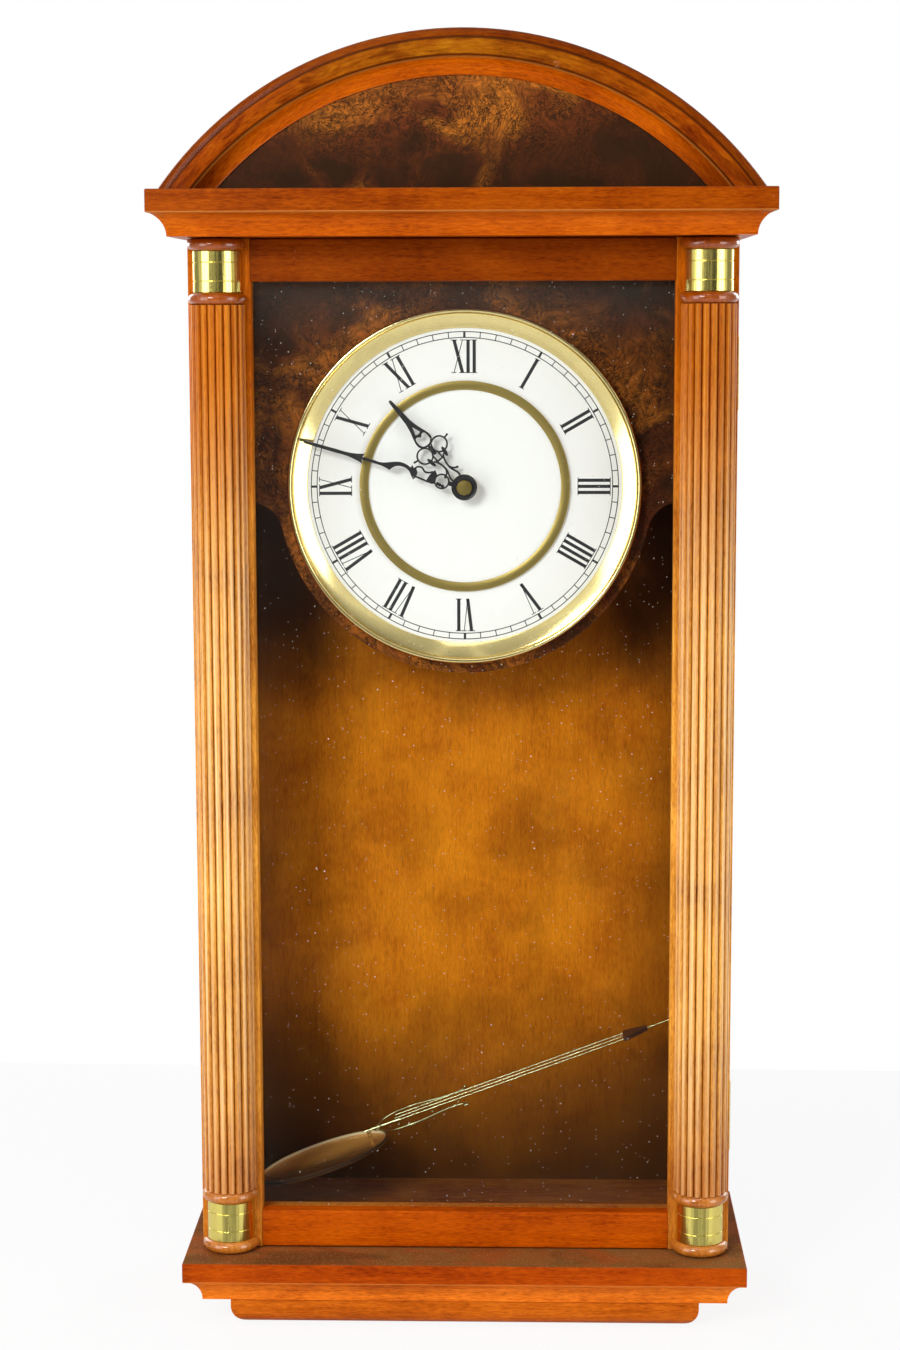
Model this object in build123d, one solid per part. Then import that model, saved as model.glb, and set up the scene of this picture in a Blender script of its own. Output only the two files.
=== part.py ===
from build123d import *
from math import acos, cos, pi, radians, sin, tan
import os

# Wall clock with a glazed door, an arched pediment and a pendulum lying in the case.
# Millimetres, X to the viewer's right, Y towards the wall, Z up.
# The origin is the centre of the hanging hole, on the wall plane.

# Case
case_width = 284.8
case_height = 542.1
case_depth = 81.0
side_thick = 12.0
floor_thick = 9.0
back_thick = 6.0
rabbet_width = 5.0
hanger_drop = 40.0

# Cornice, base board and bottom block
cornice_overhang = 16.6
cornice_depth = 134.0
cornice_fascia = 11.6
cornice_cove = 11.9
base_overhang = 8.3
base_depth = 124.8
base_fascia = 10.6
base_cove = 12.5
cove_reach = 9.6
cove_lip = 1.0
fascia_round = 0.8
block_width = 252.0
block_depth = 114.0
block_height = 15.6
block_round = 11.5

# Arched pediment
arch_rise = 79.9
arch_half_chord = 154.9
arch_front = 122.0
arch_thick = 22.0
arch_bead = 5.0
arch_bead_drop = 4.6
arch_step = 1.6
arch_flat = 8.7
arch_hollow = 9.3
arch_hollow_drop = 9.0
arch_rabbet = 5.0
pediment_thick = 5.0

# Door
door_gap = 0.75
door_clear = 0.6
door_thick = 16.0
stile_width = 32.6
rail_top_height = 22.0
rail_bottom_height = 20.2
tenon_length = 10.0
tenon_thick = 5.0
tenon_shoulder = 4.0
glass_thick = 3.0
glass_set = 8.0
glass_overlap = 5.4
bead_width = 5.0
bead_depth = 4.5
frame_round = 1.0

# Columns and their sleeves
column_inset = 15.5
torus_height = 6.2
torus_radius = 15.3
neck_radius = 12.0
sleeve_height = 21.4
sleeve_wall = 0.8
groove_width = 0.5
groove_depth = 0.3
groove_inset = 5.8
reed_count = 10
reed_radius = 2.0
reed_circle = 12.5

# Hinges, catch and screws
hinge_length = 38.0
hinge_inset = 70.0
hinge_offset = 0.2
leaf_width = 10.5
leaf_thick = 1.0
knuckle_radius = 1.5
hinge_pin_radius = 0.8
screw_radius = 1.0
screw_head = 2.2
screw_length = 9.0
screw_spacing = 22.0
screw_row = 6.5
catch_drop = 290.0
catch_width = 11.0
catch_depth = 14.0
catch_height = 30.0
strike_thick = 1.0
strike_proud = 0.4

# Hanger
keyhole_thick = 1.5
keyhole_width = 62.0
keyhole_height = 24.0
keyhole_radius = 4.5
keyhole_slot = 2.2
keyhole_rise = 8.0
keyhole_spacing = 44.0
cleat_thick = 12.0
cleat_height = 34.0
head_room = 5.0

# Dial
dial_drop = 130.7
dial_setback = 64.0
board_thick = 6.0
board_radius = 100.5
shoulder_drop = 8.3
shoulder_cove = 18.0
board_cleat = 10.0
dial_radius = 91.0
dial_thick = 1.0
bezel_outer = 94.6
bezel_inner = 84.0
bezel_proud = 7.0
bezel_crest = 2.6
ring_outer = 56.2
ring_inner = 51.4
ring_proud = 1.6

# Hands
hand_thick = 0.6
minute_angle = 286.0
hour_angle = 319.0
minute_length = 88.6
hour_length = 60.6
hand_hub = 6.8
hub_rim = 1.2
hub_proud = 0.8
hour_hand_gap = 4.4
hand_spacing = 2.4
nut_radius = 4.0
nut_height = 2.6
nut_skirt = 0.8

# Movement
movement_width = 56.0
movement_top = 28.0
movement_bottom = 58.0
movement_depth = 16.5
movement_wall = 1.5
washer_thick = 1.0
washer_radius = 9.0
tube_radius = 4.4
pipe_radius = 3.0
arbor_radius = 1.7
tube_proud = 0.8
centre_nut_flats = 11.0
centre_nut_thick = 2.5
window_width = 90.0
window_above = 42.0
window_below = 74.0

# Motion work: cannon pinion, intermediate wheel, hour wheel and setting pinion
cannon_teeth = 12
wheel_teeth = 36
pinion_teeth = 10
hour_teeth = 40
setting_teeth = 12
centre_teeth = 48
wheel_module = 0.5
centre_module = 0.36
wheel_thick = 1.2
pinion_thick = 2.0
gear_gap = 0.3
pressure_angle = 25.0
addendum = 0.8
dedendum = 1.2
backlash = 0.12
wheel_direction = 180.0
setting_direction = 225.0
post_radius = 0.9
stem_radius = 1.2
knob_radius = 5.5
knob_height = 4.0
knob_flutes = 16

# Battery, stepping motor and pendulum drive
battery_radius = 7.1
battery_length = 49.0
battery_nub = 1.2
battery_nub_radius = 2.6
battery_drop = 27.0
contact_thick = 0.5
contact_height = 10.0
rotor_radius = 3.0
rotor_length = 4.0
rotor_x = 18.0
rotor_z = 4.0
stator_thick = 0.8
stator_length = 26.0
stator_width = 10.0
stator_lift = 4.0
coil_radius = 4.0
coil_core = 2.0
coil_length = 18.0
board_width = 20.0
board_height = 14.0
board_x = 14.0
board_z = 19.0
circuit_thick = 1.0
crystal_radius = 1.0
crystal_length = 6.0
hanger_drop_pivot = 41.0
hanger_pin_radius = 1.0
hanger_hub = 2.4
hanger_width = 8.0
hanger_thick = 1.6
hanger_length = 48.0
hanger_eye = 2.0
hanger_slot = 10.0
drive_coil_drop = 8.2
drive_coil_radius = 7.0
drive_coil_thick = 4.0
magnet_radius = 3.6
magnet_thick = 1.6

# Pendulum, lying across the case with its bob's hollow back uppermost
bob_radius = 38.0
bob_depth = 6.5
bob_dish = 1.6
bob_lip = 1.0
bob_hollow = 0.8
bob_rim = 2.2
bob_side_gap = 49.4
bob_rise = 25.6
bob_slope = 18.2
bob_roll = 4.5
bracket_start = 27.0
bracket_length = 4.0
bracket_width = 3.0
rod_rise = 31.4
rod_slope = 20.6
lyre_thick = 1.2
lyre_start = 24.0
lyre_foot = 33.0
lyre_end = 88.0
lyre_width = 25.0
lyre_strip = 1.6
lyre_tab = 2.6
rod_radius = 0.75
rod_spacing = 6.1
rod_start = 44.0
hook_reach = 45.8
yoke_length = 14.0
yoke_width = 14.0
yoke_tip = 4.0
yoke_thick = 2.2
hook_width = 3.0
hook_thick = 0.6
hook_radius = 2.6
rating_stem = 1.2
stem_drop = 1.6
rating_nut_radius = 4.0
rating_nut_length = 5.0

# Clearances
joint_clear = 0.1
seat_clear = 0.2
running_clear = 0.05
moving_clear = 0.4
wall_clear = 0.3

# Places worked out from the sizes
z_cornice_top = hanger_drop
z_case_top = z_cornice_top - cornice_fascia - cornice_cove
z_base_top = z_case_top - case_height
z_base_bottom = z_base_top - base_fascia - base_cove
z_floor = z_base_top + floor_thick
z_dial = z_case_top - dial_drop
x_side_out = case_width / 2
x_side_in = x_side_out - side_thick
x_opening = x_side_out - stile_width
y_case_front = -case_depth
y_door_back = y_case_front - door_gap
y_door_front = y_door_back - door_thick
y_panel_back = -keyhole_thick
y_panel_front = y_panel_back - back_thick
y_board_front = -dial_setback
y_board_back = y_board_front + board_thick
y_dial_front = y_board_front - dial_thick
y_glass_front = y_door_front + glass_set
y_glass_back = y_glass_front + glass_thick
z_door_top = z_case_top - door_clear
z_door_bottom = z_base_top + door_clear
z_opening_top = z_door_top - rail_top_height
z_opening_bottom = z_door_bottom + rail_bottom_height
hinge_x = x_side_out + hinge_offset
hinge_y = y_case_front - door_gap / 2
hinge_heights = (z_door_top - hinge_inset, z_door_bottom + hinge_inset)
bob_x = bob_side_gap - x_side_in
yoke_start = (x_side_in - bob_x) / cos(radians(rod_slope)) - hook_reach
column_x = x_side_out - column_inset


# Shape helpers
def block(x, y, z):
    """Box between a pair of limits on each axis."""
    centre = [(low + high) / 2 for low, high in (x, y, z)]
    return Pos(*centre) * Box(x[1] - x[0], y[1] - y[0], z[1] - z[0])


def outline(start, *steps):
    """Closed face through points. A step that is a pair of points is an arc through the first."""
    edges = []
    here = start
    for step in steps:
        if isinstance(step[0], tuple):
            edges.append(ThreePointArc(here, step[0], step[1]))
            here = step[1]
        else:
            edges.append(Line(here, step))
            here = step
    edges.append(Line(here, start))
    return make_face(edges)


def plate(sketch, y_back, thick):
    """Front-elevation sketch made solid, from y_back towards the viewer."""
    return extrude(Plane.XZ.offset(-y_back) * sketch, amount=thick, dir=(0, -1, 0))


def along_x(sketch, x_start, length):
    """Side-elevation sketch run along X."""
    return extrude(Plane.YZ.offset(x_start) * sketch, amount=length, dir=(1, 0, 0))


def along_z(sketch, z_start, height):
    """Plan sketch run upwards."""
    return extrude(Plane.XY.offset(z_start) * sketch, amount=height, dir=(0, 0, 1))


def rod(x, z, y_back, y_front, radius):
    """Round bar parallel to Y."""
    return plate(Pos(x, z) * Circle(radius), y_back, y_back - y_front)


def turned(profile, x, z):
    """Radius and depth profile turned about an axis parallel to Y."""
    return revolve(Pos(x, 0, z) * profile, axis=Axis((x, 0, z), (0, 1, 0)))


def mirrored(solid):
    """The same piece on the other side of the clock."""
    return mirror(solid, about=Plane.YZ)


def moulded(width, depth, z_top, steps):
    """Board whose front and two ends carry one moulding, mitred at the corners."""
    def place(point, edge):
        return (edge - point[0], z_top - point[1])

    def profile(edge):
        placed = []
        level = z_top
        for step in steps:
            if isinstance(step[0], tuple):
                placed.append((place(step[0], edge), place(step[1], edge)))
                level = z_top - step[1][1]
            else:
                placed.append(place(step, edge))
                level = z_top - step[1]
        return outline((0, z_top), *placed, (0, level))

    end = extrude(Plane.XZ * profile(width / 2), amount=depth, dir=(0, -1, 0))
    front = along_x(mirror(profile(depth), about=Plane.YZ), -width / 2, width)
    return front & (end + mirrored(end))


def write(name, *solids):
    """Save one node, which may be a group of like solids."""
    shape = solids[0] if len(solids) == 1 else Compound(children=list(solids))
    shape.label = name
    export_step(shape, f"parts/{name}.step")


# Fasteners
def countersunk_screw(clear, length):
    """Screw down -Z with its head's top at the origin, grown by a clearance for its hole."""
    head_depth = screw_head - screw_radius
    shank_end = -length - clear
    return revolve(Plane.XZ * outline(
        (0, 0),
        (screw_head + clear, 0),
        (screw_radius + clear, -head_depth),
        (screw_radius + clear, shank_end),
        (0, shank_end),
    ), axis=Axis.Z)


def hinge_screws(clear, door_side):
    """The four screws of the door leaves or of the case leaves."""
    y = y_door_back if door_side else y_case_front
    turn = Rot(-90, 0, 0) if door_side else Rot(90, 0, 0)
    places = []
    for height in hinge_heights:
        for offset in (-screw_spacing / 2, screw_spacing / 2):
            places.append(Pos(hinge_x - screw_row, y, height + offset) * turn)
    return [place * countersunk_screw(clear, screw_length) for place in places]


# Hinges
def knuckle_space(height, clear):
    """Room round a whole hinge barrel."""
    half = hinge_length / 2 + knuckle_radius + clear
    return along_z(Pos(hinge_x, hinge_y) * Circle(knuckle_radius + clear), height - half, 2 * half)


def hinge_leaf(height, door_side):
    """One leaf: the door's has the two outer knuckles, the case's the middle one."""
    low = height - hinge_length / 2
    part_length = hinge_length / 3
    spans = [(low + index * part_length, low + (index + 1) * part_length) for index in range(3)]
    own = (spans[0], spans[2]) if door_side else (spans[1],)
    other = (spans[1],) if door_side else (spans[0], spans[2])
    y = (y_door_back - leaf_thick, y_door_back) if door_side else (y_case_front, y_case_front + leaf_thick)
    leaf = block((hinge_x - leaf_width, hinge_x), y, (low, low + hinge_length))
    barrel = Pos(hinge_x, hinge_y) * Circle(knuckle_radius)
    for bottom, top in own:
        leaf += along_z(barrel, bottom, top - bottom)
    room = Pos(hinge_x, hinge_y) * Circle(knuckle_radius + moving_clear)
    for bottom, top in other:
        leaf -= along_z(room, bottom - gear_gap / 2, top - bottom + gear_gap)
    bore = Pos(hinge_x, hinge_y) * Circle(hinge_pin_radius + running_clear)
    leaf -= along_z(bore, low - 1, hinge_length + 2)
    for hole in hinge_screws(joint_clear, door_side):
        leaf -= hole
    return leaf


def hinge_pin(height):
    """Pin with a button at each end of the barrel."""
    half = hinge_length / 2
    pin = along_z(Circle(hinge_pin_radius), -half - 1, 2 * half + 2)
    for end in (-1, 1):
        pin += Pos(0, 0, end * (half + seat_clear + knuckle_radius / 4)) * Cylinder(
            knuckle_radius * 0.8, knuckle_radius / 2)
    return Pos(hinge_x, hinge_y, height) * pin


# Woodwork of the case
def cove_steps(fascia, cove):
    """Fascia, a narrow lip, then a hollow running in to the board's underside."""
    hollow = cove_reach - cove_lip
    return [
        (0, 0),
        (0, fascia),
        (cove_lip, fascia),
        ((cove_lip + 0.70 * hollow, fascia + 0.36 * cove), (cove_reach, fascia + cove)),
    ]


def soft_fascia(board, width, depth, z_top):
    """Ease the top edges and the two upright corners of a fascia."""
    def on_fascia(edge):
        middle = edge @ 0.5
        at_end = abs(abs(middle.X) - width / 2) < 0.01
        at_front = abs(middle.Y + depth) < 0.01
        at_top = abs(middle.Z - z_top) < 0.01
        return (at_top and (at_end or at_front)) or (at_end and at_front)
    return fillet(board.edges().filter_by(on_fascia), fascia_round)


def make_cornice():
    width = case_width + 2 * cornice_overhang
    board = moulded(width, cornice_depth, z_cornice_top, cove_steps(cornice_fascia, cornice_cove))
    return soft_fascia(board, width, cornice_depth, z_cornice_top)


def make_base():
    width = case_width + 2 * base_overhang
    board = moulded(width, base_depth, z_base_top, cove_steps(base_fascia, base_cove))
    return soft_fascia(board, width, base_depth, z_base_top)


def make_bottom_block():
    bow = block_round * (1 - cos(pi / 4))
    straight = block_height - block_round
    return moulded(block_width, block_depth, z_base_bottom, [
        (0, 0),
        (0, straight),
        ((bow, block_height - bow), (block_round, block_height)),
    ])


def make_side(sign):
    side = block((x_side_in, x_side_out), (y_case_front, 0), (z_base_top, z_case_top))
    side -= block((x_side_in - 1, x_side_in + rabbet_width), (y_panel_front, 1), (z_base_top - 1, z_case_top + 1))
    if sign < 0:
        return mirrored(side)
    for height in hinge_heights:
        side -= knuckle_space(height, moving_clear)
        half = hinge_length / 2 + joint_clear
        side -= block((hinge_x - leaf_width - joint_clear, x_side_out + 1),
                      (y_case_front - 1, y_case_front + leaf_thick), (height - half, height + half))
    for hole in hinge_screws(joint_clear, False):
        side -= hole
    return side


def make_floor():
    reach = x_side_in - joint_clear
    return block((-reach, reach), (y_case_front, y_panel_front), (z_base_top, z_floor))


def keyhole_pocket(depth, y_back):
    """Room for a nail's head behind the hanging hole."""
    room = keyhole_radius + 2
    return block((-room, room), (y_back - depth, y_back), (-room, keyhole_rise + room))


def keyhole_screws(clear):
    length = screw_length + cleat_thick / 4
    heights = (-keyhole_spacing / 2, keyhole_spacing / 2)
    return [Pos(x, 0, 0) * Rot(-90, 0, 0) * countersunk_screw(clear, length) for x in heights]


def make_back_panel():
    reach = x_side_in + rabbet_width - seat_clear
    panel = block((-reach, reach), (y_panel_front, y_panel_back), (z_base_top, z_case_top))
    panel -= block((-window_width / 2, window_width / 2), (y_panel_front - 1, 1),
                   (z_dial - window_below, z_dial + window_above))
    panel -= keyhole_pocket(back_thick + 1, y_panel_back)
    for hole in keyhole_screws(joint_clear):
        panel -= hole
    return panel


def make_hanging_cleat():
    reach = x_side_in - joint_clear
    cleat = block((-reach, reach), (y_panel_front - cleat_thick, y_panel_front),
                  (z_case_top - cleat_height, z_case_top))
    cleat -= keyhole_pocket(head_room, y_panel_front)
    for hole in keyhole_screws(joint_clear):
        cleat -= hole
    return cleat


def make_keyhole_plate():
    shape = RectangleRounded(keyhole_width, keyhole_height, keyhole_height / 4)
    shape = Pos(0, keyhole_rise / 2) * shape
    shape -= Circle(keyhole_radius)
    shape -= Pos(0, keyhole_rise) * Circle(keyhole_slot)
    shape -= Pos(0, keyhole_rise / 2) * Rectangle(2 * keyhole_slot, keyhole_rise)
    solid = plate(shape, 0, keyhole_thick)
    for hole in keyhole_screws(joint_clear):
        solid -= hole
    return solid


# Pediment
arch_radius = (arch_half_chord ** 2 + arch_rise ** 2) / (2 * arch_rise)
z_arch = z_cornice_top + arch_rise - arch_radius
arch_inner = arch_radius - arch_bead - arch_flat - arch_hollow


def above_cornice(solid):
    top = z_cornice_top + arch_rise + 1
    return solid & block((-arch_radius, arch_radius), (-cornice_depth, 0), (z_cornice_top, top))


def make_arch():
    front = -arch_front
    back = front + arch_thick
    bead_front = front + arch_step
    bead_edge = bead_front + arch_bead_drop
    flat_outer = arch_radius - arch_bead
    flat_inner = flat_outer - arch_flat
    lip = front + arch_hollow_drop
    shelf = lip + cove_lip
    profile = outline(
        (arch_radius, back),
        (arch_radius, bead_edge),
        ((arch_radius - 0.30 * arch_bead, bead_front + 0.28 * arch_bead_drop),
         (flat_outer + 0.2 * arch_bead, bead_front)),
        (flat_outer, bead_front),
        (flat_outer, front),
        (flat_inner, front),
        ((flat_inner - 0.36 * arch_hollow, front + 0.70 * arch_hollow_drop), (arch_inner, lip)),
        (arch_inner, shelf),
        (arch_inner + arch_rabbet, shelf),
        (arch_inner + arch_rabbet, back),
    )
    return above_cornice(turned(profile, 0, z_arch))


def make_pediment_panel():
    front = -arch_front + arch_hollow_drop + cove_lip
    disc = rod(0, z_arch, front + pediment_thick, front, arch_inner + arch_rabbet - seat_clear)
    return above_cornice(disc)


# Door
def mortise(z_low, z_high, clear):
    """Tenon, or the mortise that takes it, at the right-hand end of a rail."""
    middle = (y_door_front + y_glass_front) / 2
    half = tenon_thick / 2 + clear
    return block((x_opening - 1, x_opening + tenon_length + clear), (middle - half, middle + half),
                 (z_low + tenon_shoulder - clear, z_high - tenon_shoulder + clear))


def glass_rabbet():
    """Step round the inside of the door's back that the glass sits in."""
    reach = x_opening + glass_overlap + seat_clear
    return block((-reach, reach), (y_glass_front, y_door_back + 1),
                 (z_opening_bottom - glass_overlap - seat_clear, z_opening_top + glass_overlap + seat_clear))


def make_stile(sign):
    stile = block((x_opening, x_side_out), (y_door_front, y_door_back), (z_door_bottom, z_door_top))
    upright = stile.edges().filter_by(Axis.Z)
    stile = fillet(upright.filter_by_position(Axis.Y, y_door_front - 0.1, y_door_front + 0.1), frame_round)
    stile -= glass_rabbet()
    stile -= mortise(z_opening_top, z_door_top, joint_clear)
    stile -= mortise(z_door_bottom, z_opening_bottom, joint_clear)
    if sign < 0:
        stile = mirrored(stile)
        return stile - strike_plate(joint_clear)
    for height in hinge_heights:
        stile -= knuckle_space(height, moving_clear)
        half = hinge_length / 2 + joint_clear
        stile -= block((hinge_x - leaf_width - joint_clear, x_side_out + 1),
                       (y_door_back - leaf_thick, y_door_back + 1), (height - half, height + half))
    for hole in hinge_screws(joint_clear, True):
        stile -= hole
    return stile


def make_rail(z_low, z_high):
    rail = block((-x_opening, x_opening), (y_door_front, y_door_back), (z_low, z_high))
    level = rail.edges().filter_by(Axis.X)
    rail = fillet(level.filter_by_position(Axis.Y, y_door_front - 0.1, y_door_front + 0.1), frame_round)
    rail -= glass_rabbet()
    tenon = mortise(z_low, z_high, 0)
    return rail + tenon + mirrored(tenon)


def make_glass():
    reach = x_opening + glass_overlap
    return block((-reach, reach), (y_glass_front, y_glass_back),
                 (z_opening_bottom - glass_overlap, z_opening_top + glass_overlap))


def make_beads():
    """Four strips that hold the glass in its rabbet."""
    reach = x_opening + glass_overlap
    low = z_opening_bottom - glass_overlap
    high = z_opening_top + glass_overlap
    y = (y_glass_back, y_glass_back + bead_depth)
    upright = block((reach - bead_width, reach), y, (low, high))
    level = (-reach + bead_width, reach - bead_width)
    return [upright, mirrored(upright), block(level, y, (low, low + bead_width)),
            block(level, y, (high - bead_width, high))]


def half_round(solid):
    """Keep the half of a turned piece that stands in front of the stile."""
    room = 2 * torus_radius
    return solid & block((-room, room), (-room, 0), (z_door_bottom, z_door_top))


def torus_ring(z_low):
    bead = torus_height / 2
    ring = Pos(torus_radius - bead, 0) * Circle(bead)
    core = outline((0, -bead), (torus_radius - bead, -bead), (torus_radius - bead, bead), (0, bead))
    return Pos(0, 0, z_low + bead) * revolve(Plane.XZ * (core + ring), axis=Axis.Z)


def make_column():
    """Reeded half column with a ring above and below each sleeved neck."""
    end = torus_height + sleeve_height
    reeds = Circle(reed_circle)
    step = pi / reed_count
    for index in range(reed_count):
        angle = -(index + 0.5) * step
        reeds += Pos(reed_circle * cos(angle), reed_circle * sin(angle)) * Circle(reed_radius)
    shaft_low = z_door_bottom + end + torus_height
    shaft_high = z_door_top - end - torus_height
    column = along_z(reeds, shaft_low, shaft_high - shaft_low)
    column += along_z(Circle(neck_radius), z_door_bottom, z_door_top - z_door_bottom)
    for low in (z_door_bottom, z_door_bottom + end, z_door_top - end - torus_height, z_door_top - torus_height):
        column += torus_ring(low)
    return Pos(column_x, y_door_front, 0) * half_round(column)


def make_sleeve(z_low):
    """Half tube with two fine grooves."""
    inner = neck_radius + running_clear
    outer = inner + sleeve_wall
    low = z_low + joint_clear
    high = z_low + sleeve_height - joint_clear
    wall = Pos((inner + outer) / 2, (low + high) / 2) * Rectangle(sleeve_wall, high - low)
    for level in (low + groove_inset, high - groove_inset):
        wall -= Pos(outer, level) * Rectangle(2 * groove_depth, groove_width)
    return Pos(column_x, y_door_front, 0) * half_round(revolve(Plane.XZ * wall, axis=Axis.Z))


def strike_plate(clear):
    """Steel plate on the door that the catch holds."""
    middle = -(x_side_in - catch_width / 2)
    z_catch = z_case_top - catch_drop
    half_w = catch_width / 2 + clear
    half_h = catch_height / 2 + clear
    back = y_door_back + strike_proud
    return block((middle - half_w, middle + half_w), (back - strike_thick, back),
                 (z_catch - half_h, z_catch + half_h))


def make_catch():
    """Magnet block on the inside of the left side, with two steel jaws."""
    z_catch = z_case_top - catch_drop
    half = catch_height / 2
    inner = -x_side_in
    body = block((inner, inner + catch_width), (y_case_front, y_case_front + catch_depth),
                 (z_catch - half, z_catch + half))
    return fillet(body.edges().filter_by(Axis.Y), 1)


# Dial
def make_dial_board():
    reach = x_side_in - joint_clear
    shoulder = z_dial - shoulder_drop
    shape = Pos(0, (z_case_top + shoulder) / 2) * Rectangle(2 * reach, z_case_top - shoulder)
    shape += Pos(0, z_dial) * Circle(board_radius)

    def at_shoulder(vertex):
        return abs(vertex.Y - shoulder) < 0.01 and abs(vertex.X) < board_radius
    shape = fillet(shape.vertices().filter_by(at_shoulder), shoulder_cove)
    shape -= Pos(0, z_dial) * Circle(tube_radius + joint_clear)
    return plate(shape, y_board_back, board_thick)


def make_board_cleats():
    cleat = block((x_side_in - board_cleat, x_side_in), (y_board_back, y_board_back + board_cleat),
                  (z_dial - shoulder_drop, z_case_top))
    return [cleat, mirrored(cleat)]


def make_dial_plate():
    shape = Circle(dial_radius) - Circle(tube_radius + joint_clear)
    return plate(Pos(0, z_dial) * shape, y_board_front, dial_thick)


def make_bezel():
    """Spun ring that overlaps the dial's edge."""
    crest = y_board_front - bezel_proud
    middle = bezel_outer - bezel_crest
    profile = outline(
        (bezel_outer, y_board_front),
        (bezel_outer, crest + bezel_crest),
        ((middle + bezel_crest * cos(pi / 4), crest + bezel_crest * (1 - sin(pi / 4))), (middle, crest)),
        (bezel_inner, y_dial_front - joint_clear),
        (bezel_inner, y_dial_front),
        (dial_radius + seat_clear, y_dial_front),
        (dial_radius + seat_clear, y_board_front),
    )
    return turned(profile, 0, z_dial)


def make_inner_ring():
    bow = (ring_inner + ring_outer) / 2
    profile = outline((ring_outer, y_dial_front), ((bow, y_dial_front - ring_proud), (ring_inner, y_dial_front)))
    return turned(profile, 0, z_dial)


# Hands, drawn pointing at twelve
def stroke(width, *points):
    """Ribbon of even width along a smooth line."""
    return trace(Spline(*points), line_width=width)


def both_sides(sketch):
    return sketch + mirror(sketch, about=Plane.YZ)


def closed_curve(*points):
    return make_face(Spline(*points, periodic=True))


def hour_outline():
    ribbon = 0.95
    side = stroke(ribbon, (2.3, 6.0), (2.35, 9.2), (1.15, 12.6), (1.1, 14.6), (1.7, 18.0), (3.4, 20.9))
    side += stroke(ribbon, (1.0, 14.2), (2.1, 11.9), (4.2, 10.6))
    side += Pos(4.2, 10.6) * Circle(0.7)
    side += Pos(4.6, 21.2) * Rot(0, 0, -9) * Ellipse(1.0, 2.9)
    side += Pos(5.0, 26.1) * (Circle(4.65) - Circle(3.75))
    side += stroke(ribbon, (9.3, 26.7), (10.4, 27.0), (11.4, 27.2))
    side += Pos(11.4, 27.2) * Circle(0.6)
    side += Pos(1.75, 21.6) * Rectangle(ribbon, 5.0)
    shape = both_sides(side)
    shape += Pos(0, 19.6) * Rectangle(4.0, ribbon)
    shape += Pos(0, 26.4) * Rectangle(1.5, 6.4)
    loop = closed_curve((0, 28.8), (2.6, 29.4), (4.2, 31.2), (4.5, 34.0), (3.5, 37.8), (2.1, 43.0), (0, 52.0),
                        (-2.1, 43.0), (-3.5, 37.8), (-4.5, 34.0), (-4.2, 31.2), (-2.6, 29.4))
    heart = closed_curve((0, 29.8), (2.0, 30.3), (3.2, 31.8), (3.4, 34.0), (2.5, 36.2), (1.2, 36.0), (0, 35.0),
                         (-1.2, 36.0), (-2.5, 36.2), (-3.4, 34.0), (-3.2, 31.8), (-2.0, 30.3))
    shape += loop - heart - outline((0, 42.2), (-1.5, 37.8), ((0, 37.2), (1.5, 37.8)))
    tip = 0.85
    shape += outline((-1.6, 46.0), (1.6, 46.0), (tip, hour_length - tip), (-tip, hour_length - tip))
    shape += Pos(0, hour_length - tip) * Circle(tip)
    return shape + Circle(hand_hub)


def minute_outline():
    ribbon = 0.95
    shape = Pos(-0.2, 12.4) * (Circle(4.2) - Circle(3.3))
    shape += Pos(-0.2, 7.4) * Rectangle(2.4, 2.4)
    for bump in ((-2.6, 11.3), (-2.3, 12.9), (-2.0, 14.2)):
        shape += Pos(*bump) * Circle(0.9)
    shape += outline((-2.4, 15.6), (-3.0, 17.6), (-2.4, 20.4), (-0.6, 20.2), (1.6, 19.4), (4.8, 17.4), (2.4, 15.6))
    shape += stroke(ribbon, (-2.4, 19.2), (-2.1, 21.5), (-1.7, 24.8), (-1.6, 27.0))
    shape += stroke(ribbon, (1.8, 28.2), (3.9, 26.3), (3.8, 24.2), (2.4, 22.6), (2.3, 20.6), (3.6, 18.2))
    shape += outline((4.0, 29.9), (2.4, 30.2), (2.7, 31.4), (0.2, 30.4), (-2.0, 28.6), (-3.4, 27.4), (-2.0, 26.2),
                     (0.8, 26.0), (3.0, 27.4), (2.6, 28.6))
    upper = Spline((2.5, 30.6), (3.6, 34.2), (3.5, 37.4), (2.5, 40.6), (0.8, 49.4))
    edge = [upper, Line((0.8, 49.4), (-0.8, 49.4)), Spline((-0.8, 49.4), (-1.3, 43.4), (-2.0, 40.7)),
            Spline((-2.0, 40.7), (-0.4, 39.6), (1.2, 37.4), (1.7, 35.2), (1.3, 32.4), (-0.4, 29.8)),
            Line((-0.4, 29.8), (2.5, 30.6))]
    shape += make_face(edge)
    tip = 0.8
    shape += outline((-0.8, 48.9), (0.8, 48.9), (0.75, 56.5), (2.7, 55.6), ((1.25, 62.0), (1.0, 70.0)),
                     (tip, minute_length - tip), (-tip, minute_length - tip), (-1.0, 70.0),
                     ((-1.25, 62.0), (-2.7, 55.6)), (-0.75, 56.5))
    shape += Pos(0, minute_length - tip) * Circle(tip)
    return shape + Circle(hand_hub)


y_hour_back = y_dial_front - hour_hand_gap
y_hour_front = y_hour_back - hand_thick
y_minute_back = y_hour_front - hand_spacing
y_minute_front = y_minute_back - hand_thick


def placed_hand(sketch, angle, y_back, bore):
    """Hand turned clockwise from twelve, with a raised rim round its hub."""
    rim = Circle(hand_hub) - Circle(hand_hub - hub_rim)
    solid = extrude(sketch, amount=hand_thick) + extrude(rim, amount=hand_thick + hub_proud)
    solid -= extrude(Circle(bore), amount=hand_thick)
    return Pos(0, y_back, z_dial) * Rot(0, angle, 0) * Rot(90, 0, 0) * solid


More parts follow.
